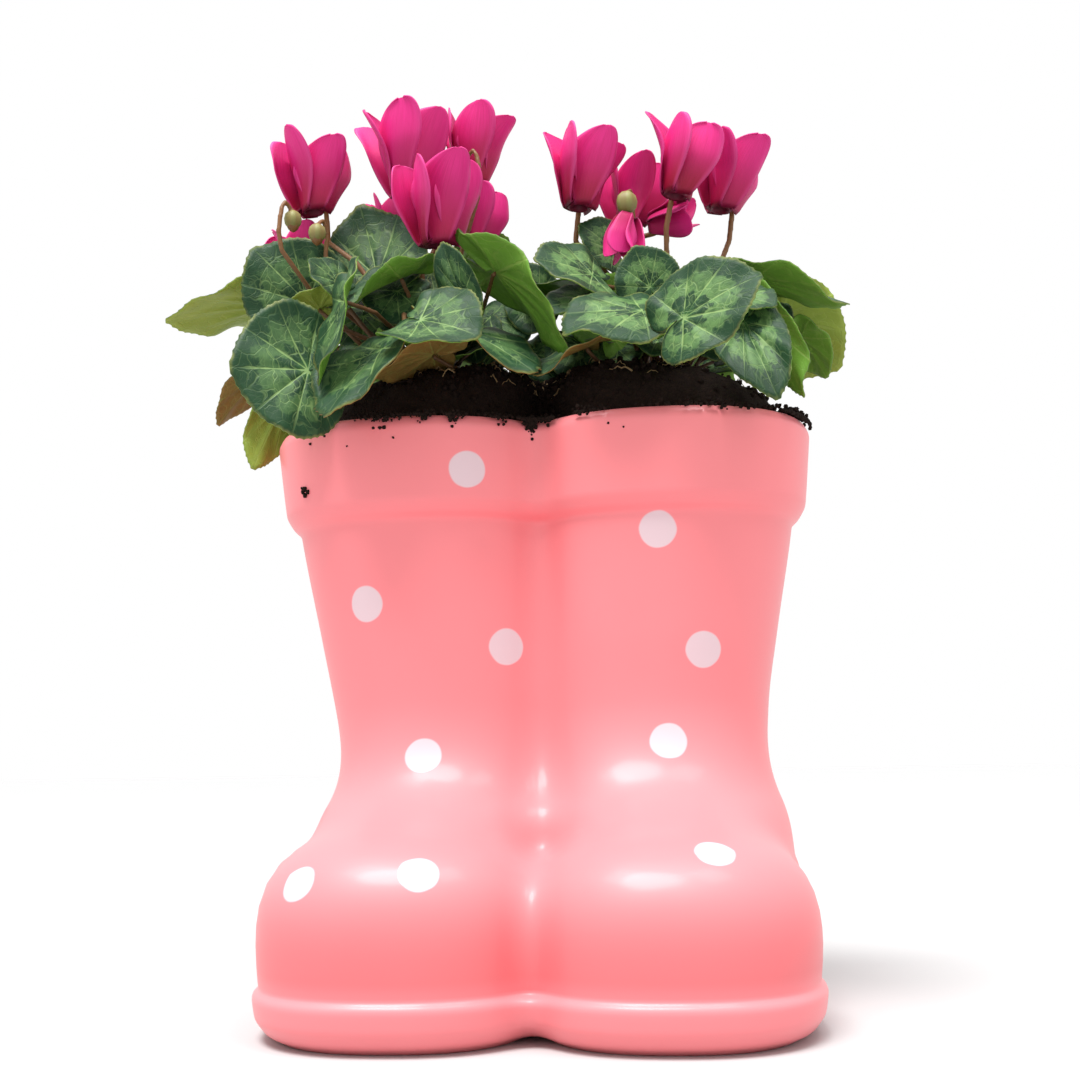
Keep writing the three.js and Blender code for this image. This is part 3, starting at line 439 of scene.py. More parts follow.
def glaze_material():
    """Glossy pink glaze with white dots, and painted shade low on the toes above the sole."""
    s = Shader("pink_glaze")
    pink = s.mix(s.noise(14, 3), (236, 127, 132), (239, 135, 140))
    height = s.height()
    # Painted shade: the pink is deeper low on the toes, just above the sole, where less light falls
    toe_shade = s.times(s.step(height, *TOE_SHADE_LEVELS[:2]), s.step(height, *TOE_SHADE_LEVELS[2:], 0.7, 0.0))
    pink = s.mix(toe_shade, pink, (222, 102, 106))
    heading, level = np.array(DOTS, float).T
    centres = surface_points(np.radians(heading), level, np.interp(level, *np.array(OUTSIDE).T), 1)
    nearest = s.least(s.distance_to(centre * MM) for centre in centres)
    edge = s.plus(nearest, s.times(s.noise(120, 1), 0.0008))
    dot = s.step(edge, *((DOT_SIZE / 2 + soft) * MM for soft in DOT_EDGE), 1.0, 0.0)
    s.set(Base_Color=s.mix(dot, pink, (217, 192, 198)))
    s.set(Roughness=0.45, Specular_IOR_Level=0.35, Coat_Weight=0.18, Coat_Roughness=0.16)
    return s.material


def hidden_rings(angles, levels, proud, waist):
    """Rings inside the boots, which keep off the narrow waist where the two join."""
    rings = surface_points(angles, np.array(levels, float)[:, None], proud, 0)
    near = np.hypot(rings[..., 0], rings[..., 1]) < WAIST
    for k, part in enumerate((np.cos(angles), np.sin(angles))):
        rings[..., k] = np.where(near, waist * part, rings[..., k])
    return rings


def make_pot():
    """Rings of the outside from the sole to the lip and down inside, then of the hidden inside."""
    angles = spokes(POT_SPOKES)
    rows = rounded_profile(OUTSIDE + LIP, POT_STEP, LIP_ROUNDING)
    keep = [0]
    for i, (height, _) in enumerate(rows):
        plain = any(low < height < high for low, high in PLAIN_ZONES)
        if abs(height - rows[keep[-1]][0]) > (PLAIN_STEP if plain else 0.0):
            keep.append(i)
    outer = surface_points(angles, rows[keep, :1], rows[keep, 1:], 1)
    inner = hidden_rings(angles, INNER_LEVELS + [FLOOR], -WALL, WAIST)
    points, faces = capped(np.concatenate([outer, inner]), (0, RAY_MIDDLE, 0), (0, RAY_MIDDLE, FLOOR))
    pot = Pile(points, faces).piece("glazed_boots", glaze_material(), "glaze")
    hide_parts("boots_pot")


# Soil: a root ball stands out of each boot
SOIL_EDGE = 229
SOIL_BOTTOM = FLOOR + 1
SOIL_PROUD = -WALL - 0.6  # the soil lies just inside the wall
ROOT_BALL_RISE = 30
ROOT_BALL_FULLNESS = 3.4
ROOT_BALL_X = 50
ROOT_BALLS_DIP = {"share": 0.18, "width": 15}  # the top is lower where the two root balls meet
SOIL_SPOKES = 288
SOIL_SHARES = 84
GRAIN = [(0.09, 1.5), (0.28, 0.9), (0.8, 0.45)]  # grains per millimetre, height in millimetres


def soil_place(heading, share):
    """Points on top of the soil, at a share of the way to the rim, and the height of its dome there."""
    share = np.asarray(share)
    place = surface_points(heading, SOIL_EDGE, SOIL_PROUD, 0) * share[..., None]
    x, y = place[..., 0], place[..., 1]
    dip = 1 - ROOT_BALLS_DIP["share"] * np.exp(-((x / ROOT_BALLS_DIP["width"]) ** 2))
    dome = ROOT_BALL_RISE * (1 - share**ROOT_BALL_FULLNESS) ** 0.5 * dip
    uneven = np.sin(x * 0.35 + 1.3) * np.cos(y * 0.31) + 0.7 * np.sin(x * 0.13 - y * 0.17)
    place[..., 2] = SOIL_EDGE + dome + uneven * np.minimum(dome / 6, 1)
    return place, dome


def grains(x, y):
    """Crumbly height at one place, in millimetres."""
    return sum(size * noise.noise(Vector((x * rate, y * rate, 3.7 * rate))) for rate, size in GRAIN)


def soil_material():
    s = Shader("dark_peat")
    dark = s.mix(s.noise(420, 4), (9, 6, 5), (44, 31, 25))
    s.set(Base_Color=s.mix(s.step(s.noise(90, 3), 0.55, 0.75), dark, (24, 15, 11)))
    s.set(Roughness=0.95, Specular_IOR_Level=0.15)
    s.bump(s.noise(900, 4), 0.7, 0.0015)
    return s.material


def make_soil(peat):
    angles = spokes(SOIL_SPOKES)
    top, dome = soil_place(angles, np.linspace(1 / SOIL_SHARES, 1, SOIL_SHARES)[:, None])
    rough = np.array([grains(x, y) for x, y in top[..., :2].reshape(-1, 2)]).reshape(dome.shape)
    top[..., 2] += rough * np.clip(dome / 8, 0.25, 1)
    skirt = hidden_rings(angles, [193, *INNER_LEVELS, SOIL_BOTTOM], SOIL_PROUD, WAIST_DRAWN_IN * WAIST)
    middle, _ = soil_place(0.0, 0.0)
    points, faces = capped(np.concatenate([top, skirt]), middle, (0, RAY_MIDDLE, SOIL_BOTTOM))
    soil = Pile(points, [f[::-1] for f in faces]).piece("peat_root_balls", peat, "soil")
    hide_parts("potting_soil")


# Crumbs of peat, all one mesh: lumps with uneven sides
CRUMBS = 900
CRUMB_SIZES = (0.4, 1.7)
SPILT_SIZES = (0.3, 1.1)
LUMP_RINGS = 4
LUMP_SIDES = 7
# Crumbs that lie on the rim: heading of the spill in degrees, half its spread, number of crumbs, overhang
SPILLS = [
    (-135, 8, 70, 2), (-127, 4, 40, 2), (-118, 3, 50, 2.4), (-105, 4, 30, 1.6),
    (-92, 5, 170, 2.8), (-84, 5, 40, 1.6), (-68, 6, 36, 1), (-36, 12, 60, 1),
    (-14, 9, 190, 0.5), (60, 30, 46, 1), (118, 8, 30, 1.6), (150, 25, 36, 1),
]
# Single crumbs that stick to the cuff: heading in degrees, height, size
SPECKS = [
    (-155, 207, 1.2), (-155.8, 206, 1.0), (-154.2, 205.6, 1.0), (-155.2, 204.6, 1.1), (-156.2, 207.6, 0.6),
    (-152, 224, 0.6), (-148, 226, 0.5), (-143, 221, 0.4), (-133, 223, 0.5), (-62, 226, 0.5), (-58, 224, 0.4),
]


def lump(random, centre, size):
    """Points and faces of an uneven ball."""
    polar = math.pi * np.arange(1, LUMP_RINGS) / LUMP_RINGS
    rings = turned(np.column_stack([np.sin(polar), -np.cos(polar)]), LUMP_SIDES)
    rings = centre + rings * size * random.uniform(0.7, 1.25, (LUMP_RINGS - 1, LUMP_SIDES, 1))
    return capped(rings, centre - [0, 0, size], centre + [0, 0, 0.8 * size])


def make_crumbs(peat):
    random = np.random.default_rng(4)
    pile = Pile()
    sizes = random.uniform(*CRUMB_SIZES, CRUMBS)
    headings = random.uniform(0, 2 * math.pi, CRUMBS)
    lying, _ = soil_place(headings, random.uniform(0.05, 0.97, CRUMBS) ** 0.55)
    for place, size in zip(lying, sizes):
        pile.add(*lump(random, place + [0, 0, 0.3 * size], size))
    for heading, spread, count, overhang in SPILLS:
        aside = random.normal(0, 0.5, count)
        turns = np.radians(heading + spread * aside)
        sizes = random.uniform(*SPILT_SIZES, count)
        on_rim = surface_points(turns, RIM_HEIGHT, random.uniform(-6.5, 4.0, count), 0)
        on_rim[:, 2] += random.uniform(0.2, 1.6, count) * (2 - overhang / 2)
        drops = RIM_HEIGHT - np.abs(random.normal(0, 1, count)) * overhang * np.maximum(1 - np.abs(aside), 0)
        on_cuff = surface_points(turns, drops, CUFF_PROUD + 0.1 * sizes, 0)
        for top, side, size in zip(on_rim, on_cuff, sizes):
            pile.add(*lump(random, top, size))
            pile.add(*lump(random, side, 0.8 * size))
    for heading, height, size in SPECKS:
        place = surface_points(math.radians(heading), height, CUFF_PROUD + 0.2 * size, 0)
        pile.add(*lump(random, place, size))
    pile.piece("peat_crumbs", peat, "soil")


# Pale roots and straw that lie on the peat
FIBRES = 110
FIBRE_STEPS = 7


def fibre_material():
    s = Shader("pale_roots")
    s.set(Base_Color=s.mix(s.noise(60, 2), (96, 70, 44), (176, 150, 108)), Roughness=0.7)
    return s.material


def make_fibres():
    random = np.random.default_rng(9)
    pile = Pile()
    steps = np.linspace(0, 1, FIBRE_STEPS)
    for _ in range(FIBRES):
        heading, share = random.uniform(0, 2 * math.pi), random.uniform(0.3, 0.9)
        swing, drift = random.uniform(-0.12, 0.12), random.uniform(-0.07, 0.07)
        path, _ = soil_place(heading + swing * steps + 0.5 * drift * steps**2, share + drift * steps)
        path[:, 2] += 0.7 + 2.2 * np.sin(math.pi * steps) * random.uniform(0.2, 1, FIBRE_STEPS)
        pile.add(*tube(path, np.linspace(0.28, 0.14, FIBRE_STEPS) * random.uniform(0.7, 1.5), 4))
    pile.piece("root_fibres", fibre_material(), "soil")


# Leaves, in millimetres where it is a thickness, and else as a share of the leaf's length
THIN_BLADE = 0.5
LEAF_COLUMNS = 159
LEAF_RINGS = 11
COARSE_SPOKES = 16
COARSE_TOOTH = 0.02
COARSE_MIDDLE = 0.55
PLANTS_MEET = -5  # leaves to the right of it are the right plant's
LEAF_WAVE = 0.035
TEETH = 53
TOOTH = 0.015
QUILTING = 0.018
RIPPLE = 0.03
PHASE_STEP = 1.3  # each leaf's wave is turned on from the last one's
VEIN_HEADINGS = [0, 0.55, 1.15, 1.9]  # angle of the main veins from the midrib, on both sides
VEIN_WIDTH = 0.13

# Radius of a leaf's outline about its stalk: degrees from the tip, share of the length
LEAF_OUTLINE = [
    [0, 1], [12, 0.93], [30, 0.87], [50, 0.82], [75, 0.76],
    [100, 0.69], [125, 0.61], [148, 0.49], [166, 0.32], [180, 0.07],
]

# Leaves of each plant: stalk end, tip, facing, width, cup of the left and of the right half, droop
LEFT_LEAVES = [
    [[-99, -5, 293], [-120, -12, 315], [-0.25, -0.85, 0.45], 1.0, 0.2, 0.2, 0.3],
    [[-114, -8, 292], [-154, -26, 281], [0.05, 0.3, 0.95], 0.6, 0.3, 0.3, 0.3],
    [[-89, -45, 254], [-116, -60, 252], [-0.4, -0.9, 0.15], 1.25, -0.3, 0.5, 0.1],
    [[-118, 4, 268], [-144, 8, 246], [-0.6, 0.5, 0.6], 0.42, 0.3, 0.3, 0.5],
    [[-107, -8, 254], [-122, -14, 221], [-0.6, 0.7, 0.1], 0.45, 0.4, 0.4, 0.3],
    [[-69, -8, 303], [-78, 2, 338], [-0.1, -0.9, 0.35], 0.85, 0.3, 0.3, -0.5],
    [[-84, -12, 293], [-95, -18, 301], [-0.2, -0.7, 0.7], 1.0, 0.2, 0.2, 0.2],
    [[-57, -18, 298], [-81, -30, 280], [-0.2, -0.45, 0.85], 0.8, 1.9, 0.6, 0.3],
    [[-66, -22, 291], [-86, -34, 287], [-0.1, -0.8, 0.6], 0.95, 0.2, 0.2, 0.3],
    [[-88, -30, 283], [-104, -37, 277], [0, 0.4, 0.9], 0.9, 0.2, 0.2, 0.3],
    [[-77, -32, 284], [-85, -44, 249], [-0.8, -0.5, -0.1], 0.6, 0.7, 0.9, -0.2],
    [[-62, -33, 267], [-77, -60, 234], [-0.55, -0.7, 0.4], 0.7, 0.2, 1.1, 0.3],
    [[-40, -40, 262], [-60, -58, 250], [0.05, 0.4, 0.9], 0.7, -0.2, -0.2, 0.4],
    [[-45, -46, 271], [-21, -58, 261], [0.1, -0.88, 0.45], 0.95, 0.2, 1.1, 0.3],
    [[-28, -40, 277], [-36, -43, 299], [-0.3, -0.92, -0.1], 0.5, 0.5, 0.5, 0.2],
    [[-28, -38, 269], [1, -58, 244], [0.35, -0.35, 0.87], 0.75, 0.3, 1.1, 0.3],
    [[-18, -21, 297], [10, -36, 259], [0.55, 0.35, 0.75], 0.5, 0.5, 0.7, 0.5],
    [[-38, 14, 312], [-15, 18, 326], [0.1, 0.3, 0.95], 0.6, 0.3, 0.3, 0.3],
    [[-72, 28, 300], [-95, 48, 310], [-0.3, 0.5, 0.8], 0.9, 0.2, 0.2, 0.4],
    [[-46, 34, 296], [-42, 66, 290], [0.1, 0.6, 0.8], 0.95, 0.2, 0.2, 0.4],
    [[-84, 36, 270], [-105, 54, 252], [-0.5, 0.5, 0.7], 0.95, 0.2, 0.2, 0.4],
    [[-54, 38, 270], [-56, 66, 244], [0, 0.8, 0.6], 0.9, 0.2, 0.2, 0.4],
]
RIGHT_LEAVES = [
    [[23, -22, 294], [1, -36, 297], [-0.25, -0.8, 0.55], 1.0, 0.2, 0.2, 0.3],
    [[31, -8, 309], [17, -12, 320], [0.1, -0.85, 0.5], 0.95, 0.3, 0.3, 0.2],
    [[38, 32, 294], [24, 62, 288], [-0.2, 0.6, 0.8], 0.95, 0.2, 0.2, 0.4],
    [[-2, 10, 297], [-9, 10, 312], [-0.3, -0.9, 0.2], 0.8, 0.3, 0.3, 0.2],
    [[13, -8, 291], [-7, -28, 289], [0, 0.1, 0.99], 0.8, -0.2, -0.2, 0.3],
    [[24, -36, 279], [4, -44, 275], [-0.2, -0.75, 0.65], 0.9, 0.3, 0.3, 0.2],
    [[27, -42, 263], [38, -38, 287], [-0.3, 0.9, 0.3], 1.0, 0.3, 0.3, 0.3],
    [[43, -56, 268], [14, -73, 256], [-0.05, -0.6, 0.8], 0.85, -0.6, 0.4, 0.3],
    [[54, -48, 266], [42, -62, 257], [0.2, 0.5, 0.8], 0.85, 0.3, 0.3, 0.2],
    [[46, -40, 280], [40, -42, 296], [-0.1, -0.93, 0.25], 1.05, 0.3, 0.3, 0.2],
    [[59, -54, 265], [87, -62, 278], [0.1, -0.9, 0.45], 0.85, 0.2, 0.2, 0.3],
    [[81, -34, 278], [94, -40, 273], [0.3, -0.8, 0.55], 0.95, 0.2, 0.2, 0.2],
    [[87, -22, 289], [122, -36, 272], [0.2, 0.15, 0.97], 0.55, 0.7, 0.3, 0.3],
    [[98, 0, 280], [124, 8, 259], [0.45, 0.85, 0.3], 0.85, 0.2, 0.2, 0.3],
    [[92, -4, 278], [102, 0, 288], [0, -0.9, 0.3], 0.9, 0.2, 0.2, 0.2],
    [[81, -52, 263], [92, -74, 228], [-0.1, -0.88, 0.3], 0.45, 0.6, 0.6, 0.3],
    [[86, -36, 272], [105, -42, 236], [0.65, 0.55, 0.45], 0.45, 0.3, 0.5, 0.3],
    [[106, -12, 268], [117, -6, 252], [0.75, 0.55, 0.35], 0.8, 0.2, 0.2, 0.2],
    [[80, 30, 284], [104, 50, 272], [0.4, 0.5, 0.8], 0.9, 0.2, 0.2, 0.4],
    [[56, 40, 266], [60, 68, 244], [0.1, 0.8, 0.6], 0.95, 0.2, 0.2, 0.4],
    [[20, -28, 263], [2, -48, 248], [-0.4, -0.25, 0.88], 0.9, 0.2, 0.6, 0.2],
]


def named(kind, digits, left, right):
    """Rows of both plants in one list, each with its node's name in front."""
    sides = (("left", left), ("right", right))
    return [[f"{side}_{kind}_{k:0{digits}d}", *row] for side, rows in sides for k, row in enumerate(rows, 1)]


LEAVES = named("leaf", 2, LEFT_LEAVES, RIGHT_LEAVES)
# Leaves that are yellowish or brownish below
YELLOWISH = {"left_leaf_02", "left_leaf_05", "left_leaf_10", "right_leaf_09", "right_leaf_14"}
BROWNISH = {"left_leaf_04", "left_leaf_12", "left_leaf_13", "left_leaf_16", "right_leaf_21"}


def leaf_axes(at, tip, face, droop):
    """Directions of a leaf at its stalk (midrib, left side, face) and its full length."""
    chord = np.array(tip, float) - np.array(at, float)
    span = np.linalg.norm(chord)
    chord /= span
    normal = np.array(face, float)
    normal = unit(normal - chord * (normal @ chord))
    half = droop / 2
    along = chord * math.cos(half) + normal * math.sin(half)
    up = normal * math.cos(half) - chord * math.sin(half)
    return np.array([along, np.cross(up, along), up]), span * half / math.sin(half)


def leaf_points(leaf, share, angle, tooth, phase, relief=0):
    """Points in the middle of a blade from its stalk end: share of the way out, angle from the tip."""
    _, at, tip, face, width, left_cup, right_cup, droop = leaf
    axes, length = leaf_axes(at, tip, face, droop)
    radius = read_rows(LEAF_OUTLINE, np.degrees(np.abs(angle)))[..., 0] * (1 + tooth)
    x = share * radius * np.cos(angle)
    y = share * radius * np.sin(angle) * width
    cup = np.where(y > 0, left_cup, right_cup)
    turn = droop * x
    sideways = np.sign(y) * length / cup * np.sin(cup * np.abs(y))
    wave = LEAF_WAVE * share**2.5 * np.sin(5 * angle + phase)
    from_vein = np.abs(np.abs(angle)[..., None] - np.array(VEIN_HEADINGS)).min(axis=-1)
    bulge = QUILTING * (1 - np.exp(-((from_vein / VEIN_WIDTH) ** 2))) * np.sin(math.pi * share)
    ripple = RIPPLE * share**3 * np.sin(9 * angle + 2.3 * phase) * np.cos(2 * angle - phase)
    lift = length / cup * (1 - np.cos(cup * np.abs(y))) + length * (wave + relief * (bulge + ripple))
    forward = length / droop * np.sin(turn) + lift * np.sin(turn)
    height = lift * np.cos(turn) - length / droop * (1 - np.cos(turn))
    return np.stack([forward, sideways, height], axis=-1) @ axes, x, y / width


def place_in_cad(name, points):
    """Where the CAD model has a piece's origin: its box against the box of the same outline."""
    low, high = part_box(name)
    outline = np.concatenate(points)
    return np.array((low + high) / 2) / MM - (outline.min(axis=0) + outline.max(axis=0)) / 2


def leaf_place(leaf, index):
    """Where the CAD model has the leaf's stalk end."""
    spoke = np.arange(COARSE_SPOKES)
    angle = spoke * 2 * math.pi / COARSE_SPOKES - math.pi
    tooth = np.where(spoke % 2, COARSE_TOOTH, -COARSE_TOOTH)
    edge, _, _ = leaf_points(leaf, 1.0, angle, tooth, index * PHASE_STEP)
    half, _, _ = leaf_points(leaf, COARSE_MIDDLE, angle[1::2], 0.0, index * PHASE_STEP)
    return place_in_cad(leaf[0], [edge, half, [[0, 0, 0]]])


def sheet(points, faces, edge, thickness):
    """Closed sheet round a surface: its upper and lower points and its faces."""
    points = np.asarray(points)
    normals = np.zeros_like(points)
    for corners in (4, 3):
        index = np.array([f for f in faces if len(f) == corners], int).reshape(-1, corners)
        place = points[index]
        across = np.cross(place[:, 2] - place[:, 0], place[:, -1] - place[:, 1])
        for column in index.T:
            np.add.at(normals, column, across)
    normals /= np.linalg.norm(normals, axis=1)[:, None] + 1e-12
    count = len(points)
    both = np.concatenate([points + normals * thickness / 2, points - normals * thickness / 2])
    skin = list(faces) + [tuple(i + count for i in reversed(f)) for f in faces]
    skin += [(a, a + count, b + count, b) for a, b in zip(edge, edge[1:] + edge[:1])]
    return both, skin


def leaf_veins(s, x, y, share, own):
    """Where the leaf has veins, and how far round each place is from a main vein."""
    flat = s.vector(x, y, own)
    angle = s.math("ABSOLUTE", s.math("ARCTAN2", y, x))
    reach = s.math("SQRT", s.plus(s.times(x, x), s.times(y, y)))
    nearest = s.least(s.math("ABSOLUTE", s.minus(angle, heading)) for heading in VEIN_HEADINGS)
    wander = s.times(s.minus(s.noise(6, 2, flat), 0.5), 0.05)
    beside = s.math("ABSOLUTE", s.plus(s.times(nearest, reach), wander))
    main = s.step(beside, 0.004, 0.016, 1.0, 0.0)
    sway_x = s.plus(x, s.times(s.noise(4, 1, flat), 0.35))
    sway_y = s.plus(y, s.times(s.noise(5, 1, flat), 0.35))
    sway = s.vector(sway_x, sway_y, own)
    branches = s.step(s.cell_edges(5, sway), 0.004, 0.045, 0.6, 0.0)
    fine = s.step(s.cell_edges(15, sway), 0.0, 0.07, 0.2, 0.0)
    return s.math("MAXIMUM", s.math("MAXIMUM", main, branches), fine), nearest


def leaf_material():
    """Marbled above, plainer and tinted below, with pale veins. The right plant is marbled more."""
    s = Shader("cyclamen_leaf")
    x_channel, y_channel, under = s.attribute("leaf")
    share, tint, chance = s.attribute("place")
    x = s.minus(x_channel, 0.5)
    y = s.minus(y_channel, 0.5)
    own = s.times(chance, 10.0)
    flat = s.vector(x, y, own)
    vein, nearest = leaf_veins(s, x, y, share, own)

    patch = s.times(s.minus(s.noise(9, 3, flat), 0.5), 0.5)
    ragged = s.minus(s.plus(share, patch), s.times(s.step(nearest, 0.0, 0.3), 0.1))
    marbled = s.times(s.step(ragged, 0.3, 0.36), s.step(ragged, 0.62, 0.7, 1.0, 0.0))
    strength = s.times(s.step(patch, -0.12, 0.12, 0.4, 1.0), s.step(chance, 0.45, 0.55, 0.5, 0.85))
    mottled = s.mix(s.noise(5, 2, flat), (18, 46, 28), (38, 74, 42))
    above = s.mix(s.times(marbled, strength), mottled, (98, 134, 76))
    above = s.mix(s.step(share, 0.0, 0.22, 0.6, 0.0), above, (52, 104, 40))
    above = s.mix(s.times(vein, s.step(share, 0.55, 0.9, 0.7, 0.15)), above, (138, 166, 102))
    rim = s.times(s.step(share, 0.95, 1.0), s.step(s.noise(4, 2, flat), 0.4, 0.6, 0.1, 0.7))
    above = s.mix(rim, above, (132, 138, 76))

    green = s.mix(s.step(tint, 0.2, 0.5), (110, 156, 54), (152, 168, 70))
    below = s.mix(s.step(tint, 0.6, 1.0), green, (146, 102, 56))
    below = s.mix(s.times(s.noise(7, 3, flat), 0.5), below, (74, 112, 40))
    below = s.mix(s.times(vein, 0.3), below, (160, 176, 96))
    s.set(Base_Color=s.mix(s.step(under, 0.4, 0.6), above, below), Roughness=0.5, Specular_IOR_Level=0.22)
    s.bump(s.minus(1.0, vein), 0.35, 0.0006)
    return s.material


def blade_mesh(leaf, at, index, columns, rings):
    """Points, faces and colour values of one blade."""
    angle = np.linspace(-math.pi, math.pi, columns, endpoint=False)[None, :]
    share = (np.arange(1, rings + 1) / rings)[:, None] ** 0.8
    angle, share = np.broadcast_arrays(angle, share)
    teeth = TOOTH * (2 * np.abs(np.sin(TEETH / 2 * angle)) - 1.2) * share**8
    points, x, y = leaf_points(leaf, share, angle, teeth, index * PHASE_STEP, 1)
    points = np.concatenate([[at], at + points.reshape(-1, 3)])
    faces = [tuple(i + 1 for i in reversed(f)) for f in grid_faces(rings, columns, True)]
    faces += [(0, 1 + j, 1 + (j + 1) % columns) for j in range(columns)]
    count = len(points)
    both, skin = sheet(points, faces, list(range(count - columns, count)), THIN_BLADE)
    flat = np.concatenate([[[0.5, 0.5]], np.stack([x + 0.5, y + 0.5], axis=-1).reshape(-1, 2)])
    out = np.concatenate([[0.0], share.reshape(-1)])
    under = np.repeat([0.0, 1.0], count)
    tint = 1.0 if leaf[0] in BROWNISH else 0.5 if leaf[0] in YELLOWISH else 0.0
    chance = 0.5 * ((index * 0.37) % 1) + (0.5 if at[0] > PLANTS_MEET else 0.0)
    colours = {
        "leaf": np.column_stack([np.tile(flat, (2, 1)), under]),
        "place": np.column_stack([np.tile(out, 2), np.full(2 * count, tint), np.full(2 * count, chance)]),
    }
    return both, skin, colours


def make_leaf(leaf, index, material, joins):
    """The blade of one leaf, and the join below it."""
    name, end, tip, face, *_, droop = leaf
    at = leaf_place(leaf, index)
    pile = Pile(*blade_mesh(leaf, at, index, LEAF_COLUMNS, LEAF_RINGS))
    blade = pile.piece(name + "_blade", material, "leaf")
    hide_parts(name)
    axes, _ = leaf_axes(end, tip, face, droop)
    joins.add(*tube([at - axes[2] * along for along in BLADE_JOIN], BLADE_JOIN.values(), JOIN_SIDES))


# Young leaves low in each plant, between the stalks: one mesh, with their stalks in another
YOUNG_LEAVES = 11
YOUNG_COLUMNS = 72
YOUNG_RINGS = 7
YOUNG_SHAPE = [0.95, 0.35, 0.35, 0.35]  # width, cups and droop
YOUNG_STALK = [0.9, 0.9, 0.8, 0.7]
STALK_BEND = [0.35, 0.35, 0.6]
CROWN_HEIGHT = 248
# Those that fill the front of the crowns: stalk end, tip, facing
FRONT_YOUNG_LEAVES = [
    [[-22, -4, 284], [-8, -10, 268], [0.3, -0.8, 0.5]],
    [[-6, 2, 270], [6, -4, 256], [0.1, -0.85, 0.45]],
    [[-72, -8, 274], [-82, -14, 262], [-0.3, -0.8, 0.5]],
    [[-58, -20, 292], [-55, -30, 274], [0, -0.9, 0.4]],
    [[-40, -14, 274], [-33, -24, 262], [0.15, -0.85, 0.5]],
    [[-77, 2, 289], [-75, -8, 270], [-0.1, -0.9, 0.4]],
    [[-30, -6, 279], [-26, -14, 262], [0, -0.85, 0.5]],
    [[-4, 0, 291], [-4, -7, 275], [0.1, -0.85, 0.5]],
    [[-48, 4, 307], [-44, -4, 291], [0, -0.85, 0.5]],
    [[15, -4, 271], [8, -12, 256], [-0.1, -0.85, 0.5]],
    [[66, -8, 274], [73, -14, 259], [0.2, -0.85, 0.45]],
    [[32, -12, 266], [22, -20, 254], [-0.1, -0.85, 0.5]],
    [[10, 4, 274], [2, -4, 260], [-0.2, -0.8, 0.5]],
    [[50, -16, 270], [54, -28, 257], [0, -0.8, 0.6]],
]


def make_young_leaves(leaf_look, stalk_look):
    random = np.random.default_rng(12)
    blades, stalks = Pile(), Pile()

    def grow(crown, at, tip, face, index):
        leaf = ["young", at, tip, face, *YOUNG_SHAPE]
        blades.add(*blade_mesh(leaf, at, index, YOUNG_COLUMNS, YOUNG_RINGS))
        bend = crown + (at - crown) * STALK_BEND
        stalks.add(*tube([crown - [0, 0, 8], crown, bend, at - [0, 0, 0.5]], YOUNG_STALK, 6))

    for k, (at, tip, face) in enumerate(FRONT_YOUNG_LEAVES):
        crown = np.array([math.copysign(ROOT_BALL_X, at[0]), 0.0, CROWN_HEIGHT])
        grow(crown, np.array(at, float), tip, face, 90 + k)
    for middle in (-ROOT_BALL_X, ROOT_BALL_X):
        crown = np.array([middle, 0.0, CROWN_HEIGHT])
        for k in range(YOUNG_LEAVES):
            heading = 2 * math.pi * (k * 0.382 + 0.05)
            out = np.array([math.cos(heading), 0.8 * math.sin(heading), 0])
            at = crown + out * random.uniform(22, 34) + [0, 0, 14 + 22 * ((k * 0.618) % 1)]
            tip = at + out * random.uniform(13, 17) + [0, 0, random.uniform(-12, 3)]
            grow(crown, at, tip, 0.45 * out + np.array([0, -0.5, 0.6]), 50 + k)
    blades.piece("young_leaves", leaf_look, "leaf")
    stalks.piece("young_stalks", stalk_look, "stalk")


# Petal of the CAD model: share of the length, distance from the bloom's axis, height, half width
PETAL_ROWS = [
    [0, 4.4, 2.2, 2.3], [0.06, 6.6, -0.4, 2.8], [0.16, 8.0, 4, 5.0], [0.36, 9.2, 12.5, 8.6],
    [0.6, 10.4, 22, 11.5], [0.8, 11.6, 30, 11.5], [0.93, 12.4, 35, 9.0], [1, 13, 37.5, 4.6],
]
# The same petal with a round end, as it is drawn
ROUND_PETAL_ROWS = [
    [0, 4.4, 2.2, 2.8], [0.06, 6.4, -0.2, 3.6], [0.16, 8.0, 4, 5.6], [0.36, 9.4, 12.5, 9.2],
    [0.56, 10.6, 20.4, 11.9], [0.7, 11.4, 26.2, 12.1], [0.82, 12.1, 31.1, 10.7],
    [0.91, 12.6, 34.6, 8.3], [0.97, 13, 37, 5.2], [1, 13.1, 38, 1.6],
]
PETAL_HEADINGS = [58, 119, 180, 241, 302]  # degrees from the stalk, which passes in the widest gap
PETAL_SPAN = 37.5
PETAL_TWIST = 0.3
PETAL_RUFFLE = 1.2
PETAL_FLARE = 16
FLARE_START = 0.12
CURL_START = 0.55
PETAL_RINGS = 26
PETAL_COLUMNS = 11
THIN_PETAL = 0.45
THROAT = [[0, 6.2], [2.4, 6], [3.4, 3], [4.2, 0.3], [4.9, -0.3], [5.6, 0.6], [4.6, 4], [3, 7.5], [0, 8]]
THROAT_SIDES = 24
COARSE_STATIONS = [0, 0.14, 0.45, 0.8, 1]
COARSE_THROAT = [[4.4, 0], [5.6, 0.6], [3, 7.5], [0, 8]]

